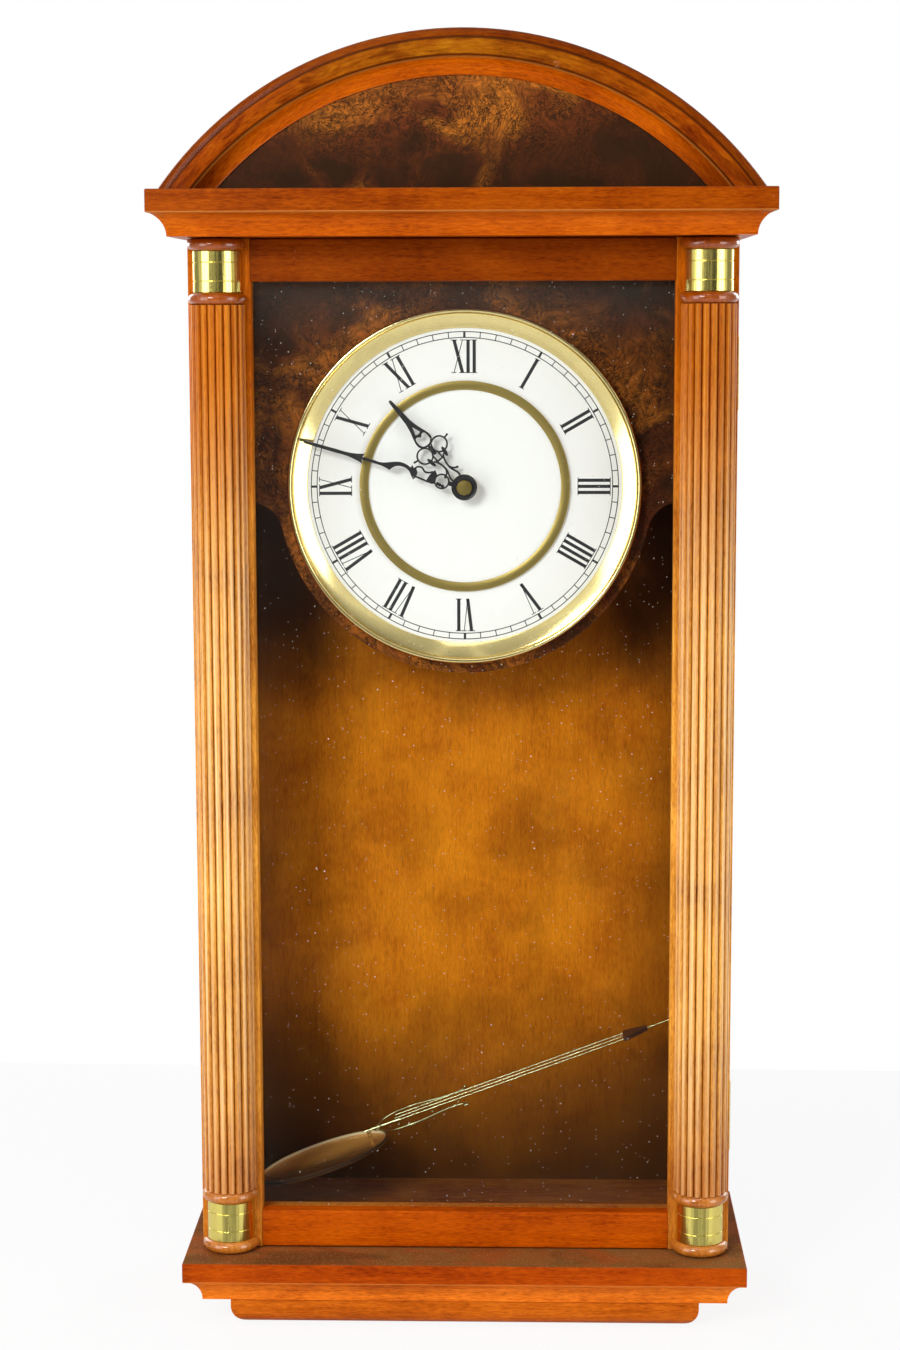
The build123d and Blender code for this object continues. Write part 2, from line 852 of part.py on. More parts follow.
# Motion work
def gear(teeth, module, phase):
    """Involute gear outline with one tooth's middle at the phase angle, in radians."""
    pressure = radians(pressure_angle)
    pitch = teeth * module / 2
    base = pitch * cos(pressure)
    tip = pitch + addendum * module
    root = pitch - dedendum * module
    start = max(base, root)
    half_tooth = (pi * module / 2 - backlash) / 2 / pitch
    tooth_step = 2 * pi / teeth

    def point(radius, angle):
        return (radius * cos(angle), radius * sin(angle))

    def flank(radius):
        turn = acos(min(1.0, base / radius))
        return half_tooth + tan(pressure) - pressure - tan(turn) + turn

    edges = []
    for index in range(teeth):
        middle = phase + index * tooth_step
        centre = (start + tip) / 2
        foot = [point(root, middle - flank(start)), point(root, middle + flank(start))]
        low = [point(start, middle - flank(start)), point(start, middle + flank(start))]
        mid = [point(centre, middle - flank(centre)), point(centre, middle + flank(centre))]
        top = [point(tip, middle - flank(tip)), point(tip, middle + flank(tip))]
        if base > root:
            edges.append(Line(foot[0], low[0]))
        edges.append(ThreePointArc(low[0], mid[0], top[0]))
        edges.append(ThreePointArc(top[0], point(tip, middle), top[1]))
        edges.append(ThreePointArc(top[1], mid[1], low[1]))
        if base > root:
            edges.append(Line(low[1], foot[1]))
        following = point(root, middle + tooth_step - flank(start))
        edges.append(ThreePointArc(foot[1], point(root, middle + tooth_step / 2), following))
    return make_face(edges)


def meshed(teeth, follower_teeth, phase, direction):
    """Phase of a follower that meshes with a gear lying in the opposite direction."""
    late = (direction - phase) % (2 * pi / teeth)
    return direction + pi + late * teeth / follower_teeth + pi / follower_teeth


wheel_distance = wheel_module * (cannon_teeth + wheel_teeth) / 2
hour_module = 2 * wheel_distance / (pinion_teeth + hour_teeth)
setting_distance = wheel_module * (wheel_teeth + setting_teeth) / 2
to_wheel = radians(wheel_direction)
to_setting = radians(setting_direction)
wheel_x = wheel_distance * cos(to_wheel)
wheel_z = z_dial + wheel_distance * sin(to_wheel)
setting_x = wheel_x + setting_distance * cos(to_setting)
setting_z = wheel_z + setting_distance * sin(to_setting)
wheel_phase = meshed(cannon_teeth, wheel_teeth, to_wheel, to_wheel)
hour_phase = meshed(pinion_teeth, hour_teeth, to_wheel + pi, to_wheel + pi)
setting_phase = meshed(wheel_teeth, setting_teeth, wheel_phase, to_setting)

y_case_back = y_board_back + washer_thick + movement_depth
y_movement = y_board_back + washer_thick
y_inside = y_movement + movement_wall
y_hour_wheel = y_inside + gear_gap + wheel_thick
y_cannon = y_hour_wheel + gear_gap + pinion_thick
y_wheel = y_hour_wheel + gear_gap + (pinion_thick + wheel_thick) / 2
y_centre_wheel = y_cannon + pinion_thick + wheel_thick
y_cover = y_case_back - movement_wall
tube_front = y_dial_front - centre_nut_thick - tube_proud


def geared(sketch, x, z, y_back, thick):
    return plate(Pos(x, z) * sketch, y_back, thick)


def make_minute_arbor():
    """Arbor with its cannon pinion and friction-driven centre wheel."""
    front = y_minute_front - nut_height
    arbor = rod(0, z_dial, y_cover - gear_gap, front + nut_skirt, arbor_radius)
    arbor += geared(gear(cannon_teeth, wheel_module, to_wheel), 0, z_dial, y_cannon, pinion_thick)
    arbor += geared(gear(centre_teeth, centre_module, 0), 0, z_dial, y_centre_wheel, wheel_thick)
    return arbor


def make_intermediate():
    """Large wheel and its small pinion, in one piece, on a post."""
    hole = Circle(post_radius + running_clear)
    pinion = gear(pinion_teeth, hour_module, to_wheel + pi) - hole
    wheel = gear(wheel_teeth, wheel_module, wheel_phase) - hole
    front = y_inside + gear_gap
    piece = geared(pinion, wheel_x, wheel_z, y_wheel - wheel_thick, y_wheel - wheel_thick - front)
    return piece + geared(wheel, wheel_x, wheel_z, y_wheel, wheel_thick)


def make_hour_wheel():
    """Wheel with the pipe that carries the hour hand."""
    bore = Circle(arbor_radius + running_clear)
    wheel = geared(gear(hour_teeth, hour_module, hour_phase) - bore, 0, z_dial, y_hour_wheel, wheel_thick)
    pipe_front = y_hour_front - gear_gap
    return wheel + geared(Circle(pipe_radius) - bore, 0, z_dial, y_hour_wheel, y_hour_wheel - pipe_front)


def make_setting_knob():
    """Stem with a pinion inside and a fluted knob behind the cover."""
    knob = Circle(knob_radius)
    for index in range(knob_flutes):
        angle = 2 * pi * index / knob_flutes
        knob -= Pos(knob_radius * cos(angle), knob_radius * sin(angle)) * Circle(knob_radius / 10)
    knob_front = y_case_back + gear_gap
    piece = geared(knob, setting_x, setting_z, knob_front + knob_height, knob_height)
    piece += rod(setting_x, setting_z, knob_front + knob_height, y_inside + gear_gap, stem_radius)
    pinion = gear(setting_teeth, wheel_module, setting_phase)
    return piece + geared(pinion, setting_x, setting_z, y_cannon, pinion_thick)


def make_hand_nut():
    """Cap nut with a shallow cone on its front."""
    front = y_minute_front - nut_height
    profile = outline(
        (arbor_radius + running_clear, y_minute_front),
        (nut_radius, y_minute_front),
        (nut_radius, front + nut_skirt),
        (0, front),
        (0, front + nut_skirt - joint_clear),
        (arbor_radius + running_clear, front + nut_skirt - joint_clear),
    )
    return turned(profile, 0, z_dial)


# Movement housing and what it holds
half_movement = movement_width / 2
inner_half = half_movement - movement_wall
z_movement_top = z_dial + movement_top
z_movement_bottom = z_dial - movement_bottom
z_hanger = z_dial - hanger_drop_pivot
z_battery = z_dial - battery_drop
y_stator = y_inside + stator_lift + stator_thick
y_hanger = y_inside + drive_coil_thick + magnet_thick + moving_clear + hanger_thick


def make_movement_case():
    """Open box with the threaded tube, posts and seats moulded in."""
    case = block((-half_movement, half_movement), (y_movement, y_cover), (z_movement_bottom, z_movement_top))
    case -= block((-inner_half, inner_half), (y_inside, y_cover + 1),
                  (z_movement_bottom + movement_wall, z_movement_top - movement_wall))
    case += rod(0, z_dial, y_inside, tube_front, tube_radius)
    case -= rod(0, z_dial, y_inside + 1, tube_front - 1, pipe_radius + running_clear)
    case += rod(wheel_x, wheel_z, y_wheel + gear_gap, y_movement, post_radius)
    for offset in (-stator_length / 2 + 2, stator_length / 2 - 2):
        case += rod(rotor_x, z_dial + rotor_z + offset, y_inside + stator_lift, y_movement, 1.5)
    case -= block((-hanger_slot, hanger_slot), (y_hanger - hanger_thick - moving_clear, y_hanger + moving_clear),
                  (z_movement_bottom - 1, z_movement_bottom + movement_wall + 1))
    return case


def make_movement_cover():
    """Rear plate with the battery window and the setting stem's hole."""
    cover = block((-half_movement, half_movement), (y_cover, y_case_back), (z_movement_bottom, z_movement_top))
    reach = inner_half - 2
    cover -= block((-reach, reach), (y_cover - 1, y_case_back + 1),
                   (z_battery - battery_radius, z_battery + battery_radius))
    cover -= rod(setting_x, setting_z, y_case_back + 1, y_cover - 1, stem_radius + running_clear)
    return cover


def make_washer():
    ring = Circle(washer_radius) - Circle(tube_radius + joint_clear)
    return geared(ring, 0, z_dial, y_movement, washer_thick)


def make_centre_nut():
    ring = RegularPolygon(centre_nut_flats / 2, 6, major_radius=False) - Circle(tube_radius + running_clear)
    return geared(ring, 0, z_dial, y_dial_front, centre_nut_thick)


battery_y = y_inside + battery_radius + joint_clear


def make_battery():
    """Cell lying across the housing, with its button at the right."""
    cell = along_x(Pos(battery_y, z_battery) * Circle(battery_radius), -battery_length / 2, battery_length)
    return cell + along_x(Pos(battery_y, z_battery) * Circle(battery_nub_radius), battery_length / 2, battery_nub)


def make_contacts():
    """Spring strips between the cell's ends and the housing's walls."""
    z = (z_battery - contact_height / 2, z_battery + contact_height / 2)
    y = (y_inside, battery_y + battery_radius / 2)
    left = block((-inner_half, -inner_half + contact_thick), y, z)
    right = block((inner_half - contact_thick, inner_half), y, z)
    bow = inner_half - contact_thick - battery_length / 2 - joint_clear
    left += along_x(Pos(battery_y, z_battery) * Circle(battery_nub_radius), -inner_half + contact_thick, bow)
    return [left, right]


def make_stator():
    z_rotor = z_dial + rotor_z
    shape = Pos(rotor_x, z_rotor) * Rectangle(stator_width, stator_length)
    shape -= Pos(rotor_x, z_rotor) * Circle(rotor_radius + moving_clear)
    return plate(shape, y_stator, stator_thick)


def make_rotor():
    """Magnet on a thin pivot that stands in the housing's front wall."""
    z_rotor = z_dial + rotor_z
    magnet_back = y_stator + rotor_length / 2
    rotor = rod(rotor_x, z_rotor, magnet_back, magnet_back - rotor_length, rotor_radius)
    return rotor + rod(rotor_x, z_rotor, y_cover, y_inside, post_radius / 2)


def make_motor_coil():
    """Winding on a core that lies on the stator's lower end."""
    level = z_dial + rotor_z - stator_length / 2 + coil_radius / 2
    centre_y = y_stator + coil_radius
    shape = Pos(centre_y, level) * Circle(coil_radius)
    core = Pos(centre_y, level) * Circle(coil_core)
    start = rotor_x - coil_length / 2
    ends = min(2.0, inner_half - rotor_x - coil_length / 2 - seat_clear) + coil_length / 2
    start_core = rotor_x - ends
    return along_x(shape, start + 1, coil_length - 2) + along_x(core, start_core, 2 * ends)


def make_circuit_board():
    y = (y_cover - circuit_thick - joint_clear, y_cover - joint_clear)
    return block((board_x - board_width / 2, board_x + board_width / 2), y,
                 (z_dial + board_z - board_height / 2, z_dial + board_z + board_height / 2))


def make_crystal():
    """Small can lying on the circuit board."""
    y = y_cover - joint_clear - circuit_thick - crystal_radius - joint_clear
    start = board_x - crystal_length / 2
    return along_x(Pos(y, z_dial + board_z) * Circle(crystal_radius), start, crystal_length)


def make_drive_coil():
    ring = Circle(drive_coil_radius) - Circle(drive_coil_radius / 3)
    return plate(Pos(0, z_hanger - drive_coil_drop) * ring, y_inside + drive_coil_thick, drive_coil_thick)


def make_hanger_pin():
    return rod(0, z_hanger, y_cover, y_inside, hanger_pin_radius)


def make_hanger():
    """Swinging arm with its magnet and the eye that the pendulum hooks into."""
    arm = Pos(0, -hanger_length / 2 + hanger_hub) * RectangleRounded(hanger_width, hanger_length, 2)
    arm -= Pos(0, hanger_hub - hanger_length + 2 * hanger_eye) * Circle(hanger_eye)
    solid = plate(Pos(0, z_hanger) * arm, y_hanger, hanger_thick)
    solid += rod(0, z_hanger - drive_coil_drop, y_hanger, y_hanger - hanger_thick - magnet_thick, magnet_radius)
    solid += rod(0, z_hanger, y_cover - gear_gap, y_hanger - hanger_thick, hanger_hub)
    return solid - rod(0, z_hanger, y_cover + 1, y_inside, hanger_pin_radius + running_clear)


# Pendulum, drawn flat with its bob at the origin and its rods along +X
def lying(rise, slope_angle, roll_angle):
    """Plane of a piece that slopes up to the right and falls a little towards the back."""
    slope = radians(slope_angle)
    roll = radians(roll_angle)
    return Plane(
        origin=(bob_x, y_panel_front - wall_clear - bob_radius * cos(radians(bob_roll)), z_floor + rise),
        x_dir=(cos(slope), 0, sin(slope)),
        z_dir=(-sin(slope) * cos(roll), cos(slope) * sin(roll), cos(slope) * cos(roll)),
    )


bob_plane = lying(bob_rise, bob_slope, bob_roll)
rod_plane = lying(rod_rise, rod_slope, 0)


def bracket_height():
    """How far the bob's bracket rises to reach the underside of the lyre's tab."""
    lifts = []
    for along in (bracket_start, bracket_start + bracket_length):
        for across in (-bracket_width / 2, bracket_width / 2):
            corner = bob_plane.origin + bob_plane.x_dir * along + bob_plane.y_dir * across
            below = (rod_plane.origin - corner).dot(rod_plane.z_dir) - lyre_thick - joint_clear
            lifts.append(below / bob_plane.z_dir.dot(rod_plane.z_dir))
    return min(lifts)


def cap_level(radius, rise):
    """Height of a round cap above its lowest point, half way out to its edge."""
    ball = (radius ** 2 + rise ** 2) / (2 * rise)
    return ball - (ball ** 2 - radius ** 2 / 4) ** 0.5


def make_bob():
    """Brass shell with a raised lip, a stem at its lower end and a bracket for the lyre."""
    inner = bob_radius - bob_lip
    floor = inner - bob_dish
    profile = outline(
        (0, -bob_depth),
        ((bob_radius / 2, cap_level(bob_radius, bob_depth - bob_rim) - bob_depth), (bob_radius, -bob_rim)),
        (bob_radius, 0),
        (inner, 0),
        (floor, -bob_dish),
        ((floor / 2, cap_level(floor, bob_hollow) - bob_dish - bob_hollow), (0, -bob_dish - bob_hollow)),
    )
    bob = revolve(Plane.XZ * profile, axis=Axis.Z)
    bob += block((bracket_start, bracket_start + bracket_length), (-bracket_width / 2, bracket_width / 2),
                 (-bob_dish - bob_rim, bracket_height()))
    end = stem_end()
    stem = Plane.YZ.offset(end + 1) * Pos(0, -stem_drop) * Circle(rating_stem)
    bob += extrude(stem, amount=bob_lip - 1 - end - bob_radius, dir=(1, 0, 0))
    return bob_plane.location * bob


def stem_end():
    """Where the nut's upper edge comes up to the left side of the case."""
    slope = radians(bob_slope)
    reach = x_side_in - wall_clear + bob_x
    return -(reach - (rating_nut_radius - stem_drop) * sin(slope)) / cos(slope)


def make_rating_nut():
    """Knurled nut on the stem, for setting the rate."""
    ring = Circle(rating_nut_radius)
    for index in range(knob_flutes):
        angle = 2 * pi * index / knob_flutes
        place = Pos(rating_nut_radius * cos(angle), rating_nut_radius * sin(angle))
        ring -= place * Circle(rating_nut_radius / 12)
    ring -= Circle(rating_stem + running_clear)
    section = Plane.YZ.offset(stem_end()) * Pos(0, -stem_drop) * ring
    return bob_plane.location * extrude(section, amount=rating_nut_length, dir=(1, 0, 0))


def make_lyre():
    """Flat lyre: two curled arms, cross bars and a tab over the bob's bracket."""
    half = lyre_width / 2
    length = lyre_end - lyre_foot
    arm = stroke(
        lyre_strip,
        (lyre_foot, 1.5),
        (lyre_foot + 0.08 * length, 0.50 * half),
        (lyre_foot + 0.34 * length, half - lyre_strip / 2),
        (lyre_foot + 0.68 * length, 0.60 * half),
        (lyre_foot + 0.86 * length, 0.50 * half),
        (lyre_end - lyre_strip, 0.84 * half),
    )
    arm += Pos(lyre_end - lyre_strip, 0.84 * half) * Circle(lyre_strip)
    arm += Pos(lyre_foot, 0.36 * half) * Circle(1.2 * lyre_strip)
    shape = arm + mirror(arm, about=Plane.XZ)
    for share, width in ((0.02, 0.9), (0.24, 1.5), (0.60, 1.3), (0.88, 1.1)):
        shape += Pos(lyre_foot + share * length, 0) * Rectangle(lyre_strip, width * half)
    tab = lyre_foot + 0.24 * length - lyre_start
    shape += Pos(lyre_start + tab / 2, 0) * Rectangle(tab, lyre_tab)
    return rod_plane.location * extrude(shape, amount=-lyre_thick)


def make_rods():
    """Three brass rods from the lyre to the yoke."""
    rods = []
    for across in (-rod_spacing, 0, rod_spacing):
        section = Plane.YZ.offset(rod_start) * Pos(across, rod_radius + joint_clear) * Circle(rod_radius)
        rods.append(rod_plane.location * extrude(section, amount=yoke_start - rod_start, dir=(1, 0, 0)))
    return rods


def make_yoke():
    """Tapered head that joins the rods to the hook."""
    half = yoke_width / 2
    tip = yoke_tip / 2
    end = yoke_start + yoke_length
    shape = outline((yoke_start, -half), (yoke_start + 2, -half), (end, -tip), (end, tip),
                    (yoke_start + 2, half), (yoke_start, half))
    low = rod_radius + joint_clear - yoke_thick / 2
    return rod_plane.location * extrude(Pos(0, 0, low) * shape, amount=yoke_thick, dir=(0, 0, 1))


def make_hook():
    """Thin strip from the yoke, curled over where it meets the right side of the case."""
    slope = radians(rod_slope)
    start = yoke_start + yoke_length
    level = rod_radius + joint_clear
    reach = x_side_in - wall_clear - bob_x - hook_radius - hook_thick / 2
    bend = (reach + (level - hook_radius) * sin(slope)) / cos(slope)
    top = level - 2 * hook_radius
    line = [Line((start, level), (bend, level)),
            ThreePointArc((bend, level), (bend + hook_radius, level - hook_radius), (bend, top))]
    strip = trace(line, line_width=hook_thick)
    return rod_plane.location * extrude(Plane.XZ * strip, amount=hook_width / 2, both=True)


def main():
    os.makedirs("parts", exist_ok=True)
    write("cornice_board", make_cornice())
    write("base_board", make_base())
    write("bottom_block", make_bottom_block())
    write("side_left", make_side(-1))
    write("side_right", make_side(1))
    write("case_floor", make_floor())
    write("back_panel", make_back_panel())
    write("hanging_cleat", make_hanging_cleat())
    write("keyhole_plate", make_keyhole_plate())
    write("keyhole_screws", *keyhole_screws(0))
    write("arch_frame", make_arch())
    write("pediment_panel", make_pediment_panel())
    write("door_stile_left", make_stile(-1))
    write("door_stile_right", make_stile(1))
    write("door_rail_top", make_rail(z_opening_top, z_door_top))
    write("door_rail_bottom", make_rail(z_door_bottom, z_opening_bottom))
    write("door_glass", make_glass())
    write("glass_beads", *make_beads())
    column = make_column()
    write("column_right", column)
    write("column_left", mirrored(column))
    lower = make_sleeve(z_door_bottom + torus_height)
    upper = make_sleeve(z_door_top - torus_height - sleeve_height)
    write("column_sleeves", lower, upper, mirrored(lower), mirrored(upper))
    write("hinge_door_leaves", *[hinge_leaf(height, True) for height in hinge_heights])
    write("hinge_case_leaves", *[hinge_leaf(height, False) for height in hinge_heights])
    write("hinge_pins", *[hinge_pin(height) for height in hinge_heights])
    write("hinge_door_screws", *hinge_screws(0, True))
    write("hinge_case_screws", *hinge_screws(0, False))
    write("catch_magnet", make_catch())
    write("strike_plate", strike_plate(0))
    write("dial_board", make_dial_board())
    write("dial_board_cleats", *make_board_cleats())
    write("dial_plate", make_dial_plate())
    write("dial_bezel", make_bezel())
    write("inner_dial_ring", make_inner_ring())
    write("hour_hand", placed_hand(hour_outline(), hour_angle, y_hour_back, pipe_radius + running_clear))
    write("minute_hand", placed_hand(minute_outline(), minute_angle, y_minute_back, arbor_radius + running_clear))
    write("hand_nut", make_hand_nut())
    write("minute_arbor", make_minute_arbor())
    write("intermediate_wheel", make_intermediate())
    write("hour_wheel", make_hour_wheel())
    write("setting_knob", make_setting_knob())
    write("movement_case", make_movement_case())
    write("movement_cover", make_movement_cover())
    write("rubber_washer", make_washer())
    write("centre_nut", make_centre_nut())
    write("battery", make_battery())
    write("battery_contacts", *make_contacts())
    write("motor_stator", make_stator())
    write("motor_rotor", make_rotor())
    write("motor_coil", make_motor_coil())
    write("circuit_board", make_circuit_board())
    write("timing_crystal", make_crystal())
    write("pendulum_coil", make_drive_coil())
    write("hanger_pin", make_hanger_pin())
    write("pendulum_hanger", make_hanger())
    write("pendulum_bob", make_bob())
    write("rating_nut", make_rating_nut())
    write("pendulum_lyre", make_lyre())
    write("pendulum_rods", *make_rods())
    write("pendulum_yoke", make_yoke())
    write("pendulum_hook", make_hook())


main()
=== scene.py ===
"""Wall clock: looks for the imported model, laid out as an add-on."""

from math import acos, cos, degrees, hypot, pi, radians, sin

import bpy
from bpy.props import FloatProperty, FloatVectorProperty, IntProperty, PointerProperty
from mathutils import Matrix, Vector


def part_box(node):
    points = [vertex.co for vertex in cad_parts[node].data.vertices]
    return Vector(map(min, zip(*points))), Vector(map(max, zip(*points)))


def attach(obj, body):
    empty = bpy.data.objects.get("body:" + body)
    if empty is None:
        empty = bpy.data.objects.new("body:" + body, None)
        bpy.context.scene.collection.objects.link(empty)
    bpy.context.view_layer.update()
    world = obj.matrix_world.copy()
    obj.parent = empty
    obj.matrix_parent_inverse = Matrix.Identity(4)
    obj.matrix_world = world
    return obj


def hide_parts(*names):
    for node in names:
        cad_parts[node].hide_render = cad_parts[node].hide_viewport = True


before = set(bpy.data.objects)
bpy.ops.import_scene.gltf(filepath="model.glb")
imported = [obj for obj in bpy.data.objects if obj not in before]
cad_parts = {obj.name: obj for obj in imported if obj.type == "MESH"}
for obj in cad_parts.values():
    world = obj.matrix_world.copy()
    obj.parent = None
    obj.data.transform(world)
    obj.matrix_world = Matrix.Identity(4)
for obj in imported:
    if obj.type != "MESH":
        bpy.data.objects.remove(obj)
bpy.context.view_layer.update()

bl_info = {
    "name": "Wall clock",
    "version": (1, 0, 0),
    "blender": (4, 5, 0),
    "location": "View3D > Sidebar > Wall clock",
    "description": "Dresses the wall clock's solids with finishes, mouldings, a printed dial and a stage",
    "category": "Object",
}

MM = 0.001


# Places taken from the solids
def low(node):
    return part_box(node)[0]


def high(node):
    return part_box(node)[1]


def middle_x(node):
    return (low(node).x + high(node).x) / 2


DIAL = (low("dial_plate") + high("dial_plate")) / 2
DIAL_FRONT = low("dial_plate").y
DOOR_FRONT = low("door_stile_left").y
ARCH_RISE = high("arch_frame").z - high("cornice_board").z
ARCH_HALF = high("arch_frame").x
ARCH_RADIUS = (ARCH_HALF ** 2 + ARCH_RISE ** 2) / (2 * ARCH_RISE)
ARCH_CENTRE = Vector((0, 0, high("arch_frame").z - ARCH_RADIUS))
COLUMN_X = middle_x("column_right")
SHAFT_MIDDLE = (low("column_right").z + high("column_right").z) / 2
COLUMN_END = 33.8 * MM
SHAFT_HALF = (high("column_right").z - low("column_right").z) / 2 - COLUMN_END
ARCH_BEAD = 5.0 * MM
ARCH_FLAT = 8.7 * MM
GLASS_HEIGHT = 498.7 * MM


# Settings that a user would change
def colour_setting(name, description, *default):
    return FloatVectorProperty(name=name, description=description, subtype="COLOR", default=default)


def length_setting(name, description, millimetres):
    return FloatProperty(name=name, description=description, default=millimetres * MM, unit="LENGTH")


class ClockColours(bpy.types.PropertyGroup):
    """Main colours of the clock's finishes"""
    frame_wood: colour_setting("Frame wood", "Stain of the mouldings and boards", 0.295, 0.0480, 0.0005)
    column_wood: colour_setting("Column wood", "Paler stain of the columns and stiles", 0.710, 0.292, 0.0350)
    burl_dark: colour_setting("Burl shade", "Dark figure of the burl veneer", 0.034, 0.0140, 0.0055)
    burl_light: colour_setting("Burl light", "Light figure of the burl veneer", 0.405, 0.124, 0.0133)
    panel_wood: colour_setting("Back panel", "Golden middle of the back panel", 0.655, 0.197, 0.0047)
    # Dark of the back panel's sprayed edge, also used for its painted shade.
    panel_edge_and_shade: colour_setting("Back panel edge", "Dark sprayed edge of the panel", 0.027, 0.0088, 0.0018)
    brass: colour_setting("Brass", "Polished brass of the bezel and hinges", 0.88, 0.71, 0.31)
    old_brass: colour_setting("Old brass", "Duller brass of the dial's inner ring and nut", 0.40, 0.30, 0.09)
    dial: colour_setting("Dial", "White lacquer of the dial", 0.90, 0.905, 0.885)
    ink: colour_setting("Ink", "Black of the print and the hands", 0.012, 0.012, 0.013)


class ClockSizes(bpy.types.PropertyGroup):
    """Sizes of the pieces that are modelled here"""
    track_outer: length_setting("Track outer radius", "Outer line of the minute track", 82.0)
    track_inner: length_setting("Track inner radius", "Inner line of the minute track", 78.9)
    numeral_outer: length_setting("Numeral outer radius", "Where the numerals' tops stand", 77.8)
    numeral_height: length_setting("Numeral height", "Height of the numerals", 17.6)
    numeral_stem: length_setting("Numeral stem", "Width of a thick stroke", 1.75)
    numeral_hair: length_setting("Numeral hair line", "Width of a thin stroke", 0.42)
    print_thick: length_setting("Print thickness", "Thickness of the printed ink", 0.03)
    reed_radius: length_setting("Reed radius", "Radius of a reed on the columns", 2.0)
    reed_circle: length_setting("Reed circle", "Radius that the reeds are set out on", 12.5)
    reed_count: IntProperty(
        name="Reeds", description="Reeds on each half column", default=10, min=4)
    ring_height: length_setting("Ring height", "Height of a column's turned ring", 6.2)
    ring_radius: length_setting("Ring radius", "Outer radius of a column's turned ring", 15.3)
    sleeve_height: length_setting("Sleeve height", "Height of a brass sleeve", 21.2)


class StageSettings(bpy.types.PropertyGroup):
    """Camera and studio"""
    camera_place: FloatVectorProperty(
        name="Camera", description="Where the camera stands", subtype="TRANSLATION", unit="LENGTH",
        default=(0.03499, -1.47593, -0.01968))
    camera_turn: FloatVectorProperty(
        name="Camera turn", description="Pitch down, roll and yaw of the camera",
        subtype="EULER", unit="ROTATION",
        default=(radians(7.91), radians(0.17), radians(-1.75)))
    lens: FloatProperty(
        name="Lens", description="Focal length on a 36 mm long side", default=70.49, unit="CAMERA")
    lamp_power: FloatProperty(
        name="Lamp power", description="Power of each soft lamp", default=15.2, unit="POWER")
    room_light: FloatProperty(
        name="Room light", description="Even light from all round", default=0.25, min=0)


class ClockSettings(bpy.types.PropertyGroup):
    """All settings of the wall clock"""
    colours: PointerProperty(type=ClockColours, name="Colours", description="Finish colours")
    sizes: PointerProperty(type=ClockSizes, name="Sizes", description="Piece sizes")
    stage: PointerProperty(type=StageSettings, name="Stage", description="Camera and studio")


def settings():
    return bpy.context.scene.wall_clock


# Shader expressions
class Value:
    """A socket of a finish, so that shader maths reads as plain arithmetic"""

    def __init__(self, finish, socket):
        self.finish = finish
        self.socket = socket

    def maths(self, operation, *others):
        return self.finish.node("ShaderNodeMath", {"operation": operation}, (self, *others))

    def __add__(self, other):
        return self.maths("ADD", other)

    __radd__ = __add__

    def __mul__(self, other):
        return self.maths("MULTIPLY", other)

    __rmul__ = __mul__

    def __sub__(self, other):
        return self.maths("SUBTRACT", other)

    def __rsub__(self, other):
        return self.finish.node("ShaderNodeMath", {"operation": "SUBTRACT"}, (other, self))

    def __truediv__(self, other):
        return self.maths("DIVIDE", other)

    def __abs__(self):
        return self.maths("ABSOLUTE")

    def soft(self, start, end):
        """0 before start and 1 after end, with a smooth change between them."""
        return self.finish.node(
            "ShaderNodeMapRange", {"interpolation_type": "SMOOTHSTEP"},
            {"Value": self, "From Min": start, "From Max": end})


